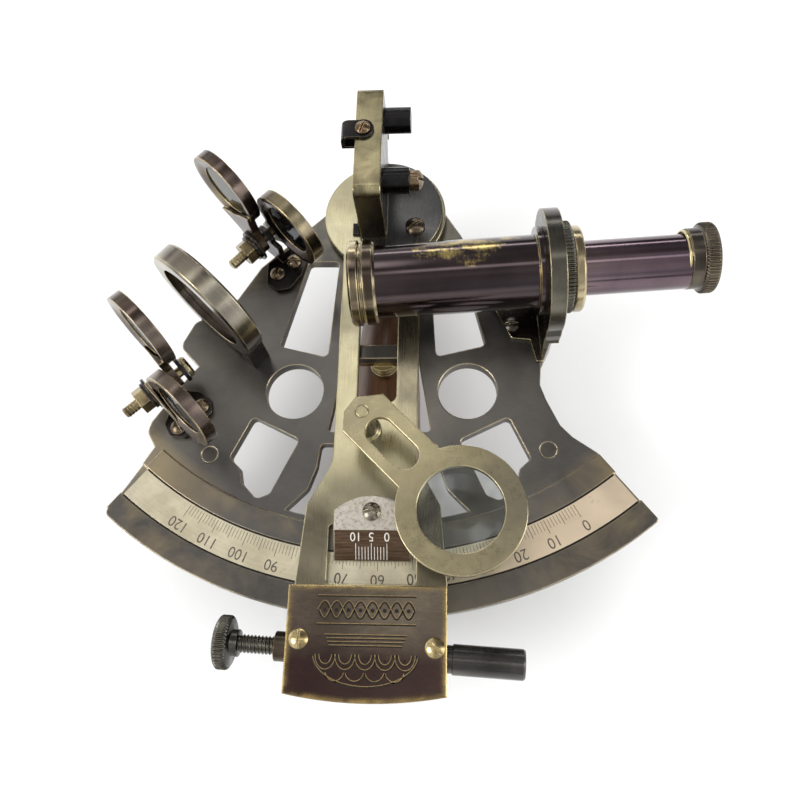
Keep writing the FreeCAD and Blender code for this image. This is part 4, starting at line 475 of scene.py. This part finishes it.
def vernier_material():
    g = Mat("vernier_nickel")
    n = g.noise(g.co, 1100.0, 5.0, 0.75)
    slow = g.noise(g.co, 120.0, 3.0)
    col = g.ramp(n, [(0.36, (0.36, 0.33, 0.28)), (0.46, (0.58, 0.55, 0.49)), (0.60, (0.74, 0.71, 0.64))])
    col = g.mix(g.remap(slow, 0.35, 0.7, 0.0, 0.35), col, (0.40, 0.30, 0.22))
    nz = g.add("ShaderNodeSeparateXYZ", {0: g.add("ShaderNodeNewGeometry").outputs["True Normal"]})
    bevel = g.math("MULTIPLY", g.remap(nz.outputs[2], 0.985, 0.96), g.remap(nz.outputs[2], 0.6, 0.8))
    cop = g.ramp(g.noise(g.stretch((200.0, 2600.0, 2600.0)), 1.0, 4.0), [(0.3, (0.085, 0.052, 0.034)), (0.55, (0.140, 0.092, 0.060)), (0.75, (0.22, 0.155, 0.100))])
    col = g.mix(bevel, col, cop)
    mask, bn = g.edge(0.00035)
    col = g.mix(g.math("MULTIPLY", mask, 0.9, clamp=True), col, (0.88, 0.80, 0.62))
    g.principled(Base_Color=col, Metallic=1.0, Roughness=g.remap(n, 0.3, 0.7, 0.38, 0.26), Normal=g.bump(n, 0.25, 0.00005, bn))
    return g.m


M["vernier"] = vernier_material()
M["wood"] = wood("oiled_walnut")
M["lens"] = pane("lens_clear", (0.965, 0.985, 0.975), 0.02, 1.0, 0.02, 0.25, 0.45, 0.0)
M["olive"] = pane("filter_olive", (0.105, 0.092, 0.045), 0.10, 0.45, fres=0.7)
M["blackglass"] = pane("filter_black", (0.005, 0.005, 0.005), 0.06, 0.3, fres=0.5)
M["darkglass"] = pane("filter_dark", (0.016, 0.014, 0.013), 0.08, 0.3, fres=0.6)
M["pale"] = pane("filter_pale", (0.62, 0.63, 0.61), 0.10, 0.85, fres=0.6)
M["mirror"] = mirror("silvered_glass", (0.30, 0.29, 0.28), 0.05)
M["hmirror"] = mirror("silvered_glass_round", (0.20, 0.155, 0.150), 0.08)
M["ink"] = paint("filled_black", (0.012, 0.010, 0.009), (0.040, 0.032, 0.026), 0.55)
M["scale_ink"] = paint("filled_brown", (0.050, 0.038, 0.026), (0.14, 0.112, 0.080), 0.55)
M["ink_light"] = paint("filled_white", (0.72, 0.68, 0.60), (0.88, 0.84, 0.76), 0.5)
M["groove"] = paint("engraved_dark", (0.008, 0.006, 0.005), (0.026, 0.019, 0.013), 0.42, 0.6, 1400.0)
# thin bright line beside each engraved groove on the cover: a burr and a painted highlight
M["gilt"] = paint("engraved_gilt", (0.60, 0.44, 0.20), (0.28, 0.20, 0.10), 0.32, 1.0, 1400.0)

NODE_MAT = {
    "frame_plate": "frame", "arc_scale": "scale", "front_feet": "leg", "pivot_cap": "housing", "frame_back_screws": "screw",
    "pivot_bush": "turned", "handle_grip": "wood", "handle_pillars": "turned", "handle_screws": "screw", "index_shade_bracket": "bracket",
    "horizon_shade_bracket": "bracket", "bracket_screws": "bracket_screw", "shade_bolts": "nut", "shade_nuts": "nut", "shade_washers": "bracket",
    "horizon_mirror_post": "bracket", "horizon_mirror_ring": "hring", "horizon_mirror_glass": "hmirror", "telescope_bracket": "holder",
    "telescope_tube": "tube", "objective_cell": "cell", "objective_lens": "lens", "telescope_lock_ring": "knurl", "focus_collar": "collar",
    "clamp_block": "housing", "clamp_shoe": "steel", "clamp_screw": "knurl", "index_arm": "arm", "pivot_pin": "steel", "pivot_nut": "steel",
    "vernier_plate": "vernier", "tangent_box": "box", "tangent_cover": "cover", "arm_slotted_screws": "arm_screw", "spring_tube": "sleeve",
    "tangent_spring": "steel", "index_mirror_bracket": "foot", "index_mirror_frame": "strip", "index_mirror_glass": "mirror",
    "mirror_clips": "black", "mirror_foot_screws": "foot_screw", "mirror_adjust_barrels": "black", "magnifier_post": "strip",
    "tangent_pad": "steel", "tangent_screw": "knurl", "tangent_plunger": "steel", "magnifier_arm": "magnifier", "magnifier_lens": "lens",
    "mirror_adjust_screw": "dark_screw", "index_shade_a_ring": "rim_index_a", "index_shade_a_glass": "olive",
    "index_shade_b_ring": "rim_index_b", "index_shade_b_glass": "blackglass", "horizon_shade_a_ring": "rim_horizon_a",
    "horizon_shade_a_glass": "pale", "horizon_shade_b_ring": "rim_horizon_b", "horizon_shade_b_glass": "darkglass",
    "draw_tube": "draw", "eyepiece_cap": "cap", "eyepiece_lens": "lens",
}
for n, o in NODES.items():
    for s in o.material_slots:
        s.material = M[NODE_MAT[n]]


# ------------------------------------------------------------------ mesh helpers
def make(name, verts, faces, mat, body, smooth=35.0):
    me = bpy.data.meshes.new(name)
    me.from_pydata([tuple(v) for v in verts], [], faces)
    me.validate()
    me.update()
    ob = bpy.data.objects.new(name, me)
    scene.collection.objects.link(ob)
    me.materials.append(mat)
    if smooth:
        for p in me.polygons:
            p.use_smooth = True
        me.set_sharp_from_angle(angle=math.radians(smooth))
    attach(ob, body)
    return ob


def basis(d):
    d = Vector(d).normalized()
    y = Vector((0, 0, 1)) if abs(d.z) < 0.9 else Vector((0, 1, 0))
    y = (y - d * y.dot(d)).normalized()
    return y.cross(d), y, d


def knurl(teeth, depth):
    return lambda r, s, th: r - depth * (0.5 - 0.5 * math.cos(teeth * th)) ** 0.8


def thread(pitch, depth):
    def f(r, s, th):
        u = (s / pitch - th / (2 * math.pi)) % 1.0
        return r - depth * min(1.0, abs(2 * u - 1) * 1.35)
    return f


def lathe(rows, origin, d, seg, loop):
    """Turned mesh from (radius, station, modulation) rows in millimetres; loop closes the section on itself."""
    x, y, z = basis(d)
    o = Vector(origin)
    verts, rings = [], []
    for r, s, f in rows:
        if r < 1e-6 and f is None:
            rings.append([len(verts)])
            verts.append(o + z * (s * MM))
            continue
        ring = []
        for k in range(seg):
            th = 2 * math.pi * k / seg
            rr = f(r, s, th) if f else r
            ring.append(len(verts))
            verts.append(o + z * (s * MM) + (x * math.cos(th) + y * math.sin(th)) * (rr * MM))
        rings.append(ring)
    faces = []
    pairs = list(zip(rings, rings[1:])) + ([(rings[-1], rings[0])] if loop else [])
    for a, b in pairs:
        for k in range(seg):
            j = (k + 1) % seg
            if len(a) == 1 and len(b) == 1:
                continue
            if len(a) == 1:
                faces.append((a[0], b[k], b[j]))
            elif len(b) == 1:
                faces.append((a[k], b[0], a[j]))
            else:
                faces.append((a[k], b[k], b[j], a[j]))
    return verts, faces


def steps(r, s0, s1, count, f):
    return [(r, s0 + (s1 - s0) * k / count, f) for k in range(count + 1)]


# tangent screw: coarse straight knurl, hub, cut thread
kn = knurl(44, 0.42)
th = thread(0.8, 0.34)
rows = [(0, -33.5, None), (3.2, -33.5, None), (4.6, -33.45, None), (5.15, -33.2, None), (5.5, -33.0, kn), (5.75, -32.7, kn)]
rows += steps(5.75, -32.4, -31.2, 3, kn) + [(5.75, -30.9, kn), (5.5, -30.55, kn), (5.1, -30.3, None), (4.7, -30.12, None), (3.0, -30.1, None),
                                            (2.9, -30.0, None), (2.9, -28.7, None), (2.8, -28.6, None), (1.7, -28.55, None), (1.66, -28.4, None)]
rows += steps(2.0, -28.2, -4.9, 230, th) + [(1.5, -4.6, None), (1.2, -4.4, None), (1.2, -3.15, None), (0, -3.15, None)]
v, f = lathe(rows, TAN_O, TAN_D, 264, False)
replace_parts(make("tangent_screw_knurled", v, f, M["knurl"], "tangent_knob", 50.0), "tangent_screw")

# coil spring in the tube, built at one fixed length; on the real instrument it shortens as the plunger moves
bx_, by_, bz_ = basis(TAN_D)
sv, sf, N, K = [], [], 236, 8
for i in range(N + 1):
    th_ = 2 * math.pi * 9.83 * i / N
    ra = bx_ * math.cos(th_) + by_ * math.sin(th_)
    c0 = TAN_O + bz_ * ((13.5 + 17.2 * i / N) * MM) + ra * (1.95 * MM)
    for k in range(K):
        q = 2 * math.pi * k / K
        sv.append(c0 + (ra * math.cos(q) + bz_ * math.sin(q)) * (0.32 * MM))
for i in range(N):
    for k in range(K):
        j = (k + 1) % K
        sf.append((i * K + k, i * K + j, (i + 1) * K + j, (i + 1) * K + k))
sf.append(tuple(range(K)))
sf.append(tuple(N * K + k for k in reversed(range(K))))
spring = make("tangent_spring_coil", sv, sf, M["steel"], "arm", 40.0)
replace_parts(spring, "tangent_spring")
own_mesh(spring)

# clamp thumbscrew
kn = knurl(40, 0.4)
cs_o = Vector(JOINTS["clamp_screw_turn"]["pos_m"])
cs_o.z = 0.0
rows = [(0, 11.0, None), (3.0, 11.0, None), (5.0, 11.05, None), (5.7, 11.3, None), (6.1, 11.6, kn), (6.4, 12.0, kn)]
rows += steps(6.4, 12.3, 14.6, 3, kn) + [(6.4, 14.9, kn), (6.1, 15.3, kn), (5.7, 15.6, None), (5.2, 15.78, None), (3.3, 15.8, None), (3.2, 15.9, None),
                                         (3.2, 18.5, None), (3.1, 18.6, None), (1.75, 18.7, None)]
rows += steps(2.0, 18.9, 25.3, 64, thread(0.8, 0.34)) + [(1.5, 25.6, None), (0, 25.6, None)]
v, f = lathe(rows, cs_o, (0, 0, 1), 240, False)
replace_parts(make("clamp_screw_knurled", v, f, M["knurl"], "clamp_knob", 50.0), "clamp_screw")

# telescope lock ring and eyepiece cap
kn = knurl(72, 0.5)
rows = [(9.04, 42.1, None), (10.0, 42.1, None), (10.35, 42.2, kn), (10.6, 42.45, kn)] + steps(10.6, 42.8, 44.0, 3, kn) + \
       [(10.6, 44.3, kn), (10.35, 44.55, kn), (10.0, 44.65, None), (9.04, 44.65, None)]
v, f = lathe(rows, SCOPE_O, SCOPE_D, 504, True)
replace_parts(make("lock_ring_knurled", v, f, M["knurl"], "frame", 45.0), "telescope_lock_ring")
kn = knurl(64, 0.36)
rows = [(5.0, 66.0, None), (5.43, 66.0, None), (5.43, 71.02, None), (6.31, 71.02, None), (6.31, 70.1, None), (6.5, 70.1, None), (6.62, 70.18, None),
        (6.68, 70.3, None), (6.68, 70.5, None), (6.62, 70.70, None), (6.50, 70.80, None), (6.50, 70.95, None), (6.92, 71.0, None), (6.95, 71.1, None),
        (6.95, 73.55, None), (7.0, 73.68, None), (7.5, 73.8, None), (7.8, 73.95, kn), (8.1, 74.3, kn)] + steps(8.1, 74.5, 76.1, 4, kn) + \
       [(8.1, 76.3, kn), (7.9, 76.7, kn), (7.6, 76.9, None), (7.2, 77.0, None), (4.6, 77.0, None), (4.3, 76.9, None),
        (3.4, 75.2, None), (3.4, 74.6, None), (5.0, 74.6, None)]
v, f = lathe(rows, SCOPE_O, SCOPE_D, 480, True)
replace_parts(make("eyepiece_cap_knurled", v, f, M["cap"], "eyepiece", 45.0), "eyepiece_cap")

# cut threads on the free ends of the shade bolts
for tag, o, d, w in (("index", IDX_O, IDX_D, -2.5), ("horizon", HOR_O, HOR_D, 2.5)):
    rows = [(1.0, -11.84 - w, None)] + steps(1.42, -11.6 - w, -7.8 - w, 60, thread(0.8, 0.28)) + [(1.1, -7.76 - w, None)]
    v, f = lathe(rows, o, d, 40, True)
    make("%s_bolt_thread" % tag, v, f, M["nut"], "frame", 60.0)


# ------------------------------------------------------------------ graduations
def slab(verts, faces, corners, up, h0, h1):
    """A thin prism on four or more corners, from h0 to h1 along up."""
    n = len(corners)
    k = len(verts)
    for h in (h0, h1):
        verts.extend([Vector(c) + up * h for c in corners])
    faces.append(tuple(k + n + i for i in range(n)))
    faces.append(tuple(k + i for i in reversed(range(n))))
    for i in range(n):
        j = (i + 1) % n
        faces.append((k + i, k + j, k + n + j, k + n + i))


def text_mesh(word, size, depth):
    cu = bpy.data.curves.new("number", "FONT")
    cu.body = word
    cu.size = size
    cu.extrude = depth
    cu.align_x = "CENTER"
    cu.align_y = "CENTER"
    ob = bpy.data.objects.new("number", cu)
    scene.collection.objects.link(ob)
    bpy.context.view_layer.update()
    me = bpy.data.meshes.new_from_object(ob.evaluated_get(bpy.context.evaluated_depsgraph_get()))
    v = [x.co.copy() for x in me.vertices]
    f = [tuple(p.vertices) for p in me.polygons]
    bpy.data.objects.remove(ob)
    bpy.data.meshes.remove(me)
    return v, f


def add_text(verts, faces, word, size, depth, mat, squeeze=1.0):
    tv, tf = text_mesh(word, size, depth)
    k = len(verts)
    verts.extend([mat @ Vector((p.x * squeeze, p.y, p.z)) for p in tv])
    faces.extend([tuple(k + i for i in t) for t in tf])


Z = Vector((0, 0, 1))
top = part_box("arc_scale")[1].z
tv, tf = [], []
for L in range(0, 121):
    a = math.radians(30.46 - 0.5 * L)
    u = Vector((math.sin(a), -math.cos(a), 0))
    t = Vector((u.y, -u.x, 0))
    r0, r1 = 88.75, 91.0 + (0.6 if L % 5 == 0 else 0) + (0.4 if L % 10 == 0 else 0)
    w = 0.052 if L % 5 else 0.070
    slab(tv, tf, [u * (r0 * MM) + t * (w * MM) + Z * top, u * (r0 * MM) - t * (w * MM) + Z * top,
                  u * (r1 * MM) - t * (w * MM) + Z * top, u * (r1 * MM) + t * (w * MM) + Z * top], Z, -0.00002, 0.000015)
for L in range(0, 121, 10):
    a = math.radians(30.46 - 0.5 * L)
    u = Vector((math.sin(a), -math.cos(a), 0))
    t = Vector((u.y, -u.x, 0))
    m = Matrix((( t.x, u.x, 0, u.x * 0.0940), (t.y, u.y, 0, u.y * 0.0940), (0, 0, 1, top), (0, 0, 0, 1)))
    add_text(tv, tf, str(L), 0.0036, 0.000015, m, 0.92)
make("arc_graduations", tv, tf, M["scale_ink"], "frame", 0)

# the dark seam on both sides of the inlaid scale
sv, sf = [], []
for ra, rb in ((87.98, 88.42), (96.08, 96.52)):
    for k in range(76):
        q4 = []
        for rr, aa in ((ra, k), (rb, k), (rb, k + 1), (ra, k + 1)):
            a = math.radians(-38.9 + 77.1 * aa / 76.0)
            q4.append(Vector((math.sin(a) * rr * MM, -math.cos(a) * rr * MM, top)))
        slab(sv, sf, q4, Z, -0.00002, 0.000018)
make("arc_seams", sv, sf, M["groove"], "frame", 0)

# vernier marks on the sloping edge
v_lo, v_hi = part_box("vernier_plate")
down = Vector((0, -7.0, -3.2)).normalized()
nrm = Vector((0, -3.2, 7.0)).normalized()
edge0 = Vector((0, -0.0829, 0.0347))
xd = Vector((-1, 0, 0))
tv, tf = [], []
zero = 2.9
step = 0.45 * math.radians(1.0) * 89.6
for k in range(0, 11):
    x = (zero - k * step) * MM
    s0 = (3.7 if k % 5 == 0 else 4.5) * MM
    c = edge0 + down * s0 + Vector((x, 0, 0))
    e = edge0 + down * (7.45 * MM) + Vector((x, 0, 0))
    w = xd * (0.07 * MM)
    slab(tv, tf, [c + w, c - w, e - w, e + w], nrm, -0.00002, 0.00002)
for k, word in ((0, "0"), (5, "5"), (10, "10")):
    c = edge0 + down * (2.15 * MM) + Vector(((zero - k * step) * MM, 0, 0))
    m = Matrix(((xd.x, down.x, nrm.x, c.x), (xd.y, down.y, nrm.y, c.y), (xd.z, down.z, nrm.z, c.z), (0, 0, 0, 1)))
    add_text(tv, tf, word, 0.0029, 0.00002, m, 0.92)
make("vernier_graduations", tv, tf, M["ink_light"], "arm", 0)

# ------------------------------------------------------------------ cover ornament: rules, a waved band and a scalloped fan
c_lo, c_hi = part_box("tangent_cover")
cx, cz = (c_lo.x + c_hi.x) / 2, c_hi.z
gv, gf, hv, hf = [], [], [], []


def ribbon(points, width, closed=False, gilt=True):
    """An engraved line: a dark band with a thin bright line along one side, a burr and a painted highlight of the
    groove's lit wall.
    """
    pts = [Vector((cx + p[0] * MM, p[1] * MM, cz)) for p in points]
    n = len(pts)
    for verts, faces, off, w, h in ((gv, gf, 0.0, width, 0.00002), (hv, hf, width * 0.60, 0.10, 0.00003)):
        if not gilt and verts is hv:
            continue
        left, right = [], []
        for i, p in enumerate(pts):
            a = pts[(i - 1) % n] if (closed or i > 0) else p
            b = pts[(i + 1) % n] if (closed or i < n - 1) else p
            t = (b - a).normalized()
            s = Vector((-t.y, t.x, 0))
            left.append(p + s * ((off + w / 2) * MM))
            right.append(p + s * ((off - w / 2) * MM))
        for i in range(n if closed else n - 1):
            j = (i + 1) % n
            slab(verts, faces, [right[i], right[j], left[j], left[i]], Z, -0.00003, h)


def arc(x, y, rx, ry, a0, a1, n=28):
    return [(x + rx * math.cos(math.radians(a0 + (a1 - a0) * k / n)), y + ry * math.sin(math.radians(a0 + (a1 - a0) * k / n))) for k in range(n + 1)]


def dot(x, y, r):
    n = 16
    c = [Vector((cx + (x + r * math.cos(2 * math.pi * k / n)) * MM, (y + r * math.sin(2 * math.pi * k / n)) * MM, cz)) for k in range(n)]
    slab(gv, gf, c, Z, -0.00003, 0.00002)


for y in (-98.6, -104.4):
    ribbon([(-10.5, y), (10.5, y)], 0.34)
for ph in (0, 180):
    ribbon([(-10.2 + 0.34 * k, -101.5 + 1.75 * math.sin(math.radians(ph + 0.34 * k * 360 / 5.1))) for k in range(61)], 0.40)
for k in range(8):
    dot(-8.925 + 2.55 * k, -101.5, 0.42)
for k in range(4):
    y = -106.6 - 0.72 * k
    ribbon([(-8.6 + 0.3 * k, y), (8.6 - 0.3 * k, y)], 0.32)
for k in range(-2, 3):
    x = 4.15 * k
    for r in (2.35, 1.55):
        ribbon(arc(x, -110.4, r, r * 1.35, 180, 360), 0.36)
    dot(x, -111.6, 0.34)
for k in range(-3, 3):
    x = 4.15 * (k + 0.5)
    if abs(x) < 9:
        ribbon(arc(x, -113.4, 2.2, 2.4, 195, 345), 0.34)
        dot(x, -114.4, 0.28)
ribbon(arc(0, -110.2, 11.2, 6.6, 186, 354, 60), 0.36)
make("cover_ornament_lines", gv, gf, M["groove"], "arm", 0)
# the one-sided bright lines: burr and painted highlight
make("cover_ornament_burr_highlight", hv, hf, M["gilt"], "arm", 0)

# ------------------------------------------------------------------ stage, light, camera
g = Mat("studio_floor")
fn = g.noise(g.co, 3.0, 3.0)
g.principled(Base_Color=g.mix(fn, (0.90, 0.90, 0.90), (0.93, 0.93, 0.925)), Roughness=g.remap(fn, 0.3, 0.7, 0.75, 0.85))
fl = bpy.data.meshes.new("floor")
S = 6.0
fl.from_pydata([(-S, -S, -0.0002), (S, -S, -0.0002), (S, S, -0.0002), (-S, S, -0.0002)], [], [(0, 1, 2, 3)])
floor = bpy.data.objects.new("floor", fl)
scene.collection.objects.link(floor)
fl.materials.append(g.m)

w = bpy.data.worlds.new("studio")
scene.world = w
w.use_nodes = True
nt = w.node_tree
nt.nodes.clear()


class Sky(Mat):
    """The same node builder, on the world."""

    def __init__(self, tree):
        self.t = tree
        self.out = self.add("ShaderNodeOutputWorld")
        self.co = self.add("ShaderNodeTexCoord").outputs["Generated"]


g = Sky(nt)
d = g.add("ShaderNodeSeparateXYZ", {0: g.co})
dx, dy, dz = d.outputs
# panels as seen in the metal: a soft wall to the left, a dark zone behind on the right, a bright sheet over the arm
left = g.remap(dx, 0.12, -0.34, 0.28, 0.86, True)
right = g.math("MULTIPLY", g.remap(dx, 0.10, 0.26, 0.0, 0.34, True), g.remap(dy, 0.34, 0.16, 0.0, 1.0, True))
mid = g.math("MULTIPLY", g.remap(g.vmath("DISTANCE", g.vmath("MULTIPLY", g.co, (1.0, 1.0, 0.0)), (-0.175, 0.17, 0.0), out=1), 0.20, 0.04, 0.0, 0.42, True), -1.0)
sheet = g.remap(g.vmath("DISTANCE", g.vmath("MULTIPLY", g.co, (1.6, 0.62, 0.0)), (-0.20, 0.262, 0.0), out=1), 0.17, 0.02, 0.0, 2.6, True)
cam_side = g.math("MULTIPLY", g.remap(dy, -0.10, -0.40, 0.0, 0.18, True), g.remap(dz, 0.25, 0.60))
zen = g.math("MULTIPLY", g.remap(g.math("ABSOLUTE", g.math("SUBTRACT", dy, -0.03)), 0.10, 0.03, 0.0, 1.9, True), g.remap(dx, -0.02, -0.10, 1.0, 0.12, True))
low = g.math("MULTIPLY", g.remap(dz, 0.45, 0.12, 0.0, 1.0, True), g.remap(g.noise(g.co, 1.9, 1.5), 0.42, 0.58, -0.30, 0.75))
top_sum = g.math("ADD", g.math("ADD", g.math("ADD", left, right), g.math("ADD", mid, sheet)), g.math("ADD", cam_side, zen))
field = g.math("MAXIMUM", g.math("ADD", top_sum, low), 0.10)
wob = g.remap(g.noise(g.co, 3.4, 2.0, 0.5), 0.35, 0.65, 0.78, 1.22)
val = g.math("MULTIPLY", field, wob)
tone = g.mix(g.remap(g.noise(g.co, 1.3, 1.0), 0.4, 0.6), (1.0, 0.975, 0.94), (0.955, 0.975, 1.0))
lp = g.add("ShaderNodeLightPath")
shown = g.add("ShaderNodeBackground", {"Color": g.mix(1.0, tone, g.add("ShaderNodeCombineColor", {0: val, 1: val, 2: val}).outputs[0], "MULTIPLY"),
                                       "Strength": 1.0})
even = g.add("ShaderNodeBackground", {"Color": (1.0, 1.0, 1.0), "Strength": 1.06})
mx = g.add("ShaderNodeMixShader", {0: lp.outputs["Is Glossy Ray"]})
nt.links.new(even.outputs[0], mx.inputs[1])
nt.links.new(shown.outputs[0], mx.inputs[2])
nt.links.new(mx.outputs[0], g.out.inputs[0])


def area(name, loc, target, size, size_y, power, colour=(1, 1, 1)):
    li = bpy.data.lights.new(name, "AREA")
    li.shape = "RECTANGLE"
    li.size = size
    li.size_y = size_y
    li.energy = power
    li.color = colour
    ob = bpy.data.objects.new(name, li)
    scene.collection.objects.link(ob)
    ob.location = loc
    ob.rotation_euler = (Vector(target) - Vector(loc)).to_track_quat("-Z", "Y").to_euler()
    return ob


T = (0.0, -0.05, 0.04)
area("key", (-0.62, -0.30, 0.62), T, 0.45, 0.35, 3.2)
area("fill", (0.80, -0.20, 0.50), T, 0.5, 0.5, 2.2)
area("back_strip", (0.10, 0.95, 0.42), T, 1.1, 0.10, 1.6)

cam = bpy.data.cameras.new("camera")
cam.sensor_width = 36.0
cam.lens = 800.0 / 794.0 * 36.0
cam.clip_start = 0.01
camera = bpy.data.objects.new("camera", cam)
scene.collection.objects.link(camera)
rx, ry, rz = (math.radians(a) for a in (-20.61, -3.92, -1.37))
R = Matrix.Rotation(rx, 3, "X") @ Matrix.Rotation(ry, 3, "Y") @ Matrix.Rotation(rz, 3, "Z")
camera.matrix_world = Matrix.Translation((0.0182, -0.1183, 0.2120)) @ R.transposed().to_4x4()
scene.camera = camera
scene.view_settings.view_transform = "Standard"
scene.view_settings.look = "None"
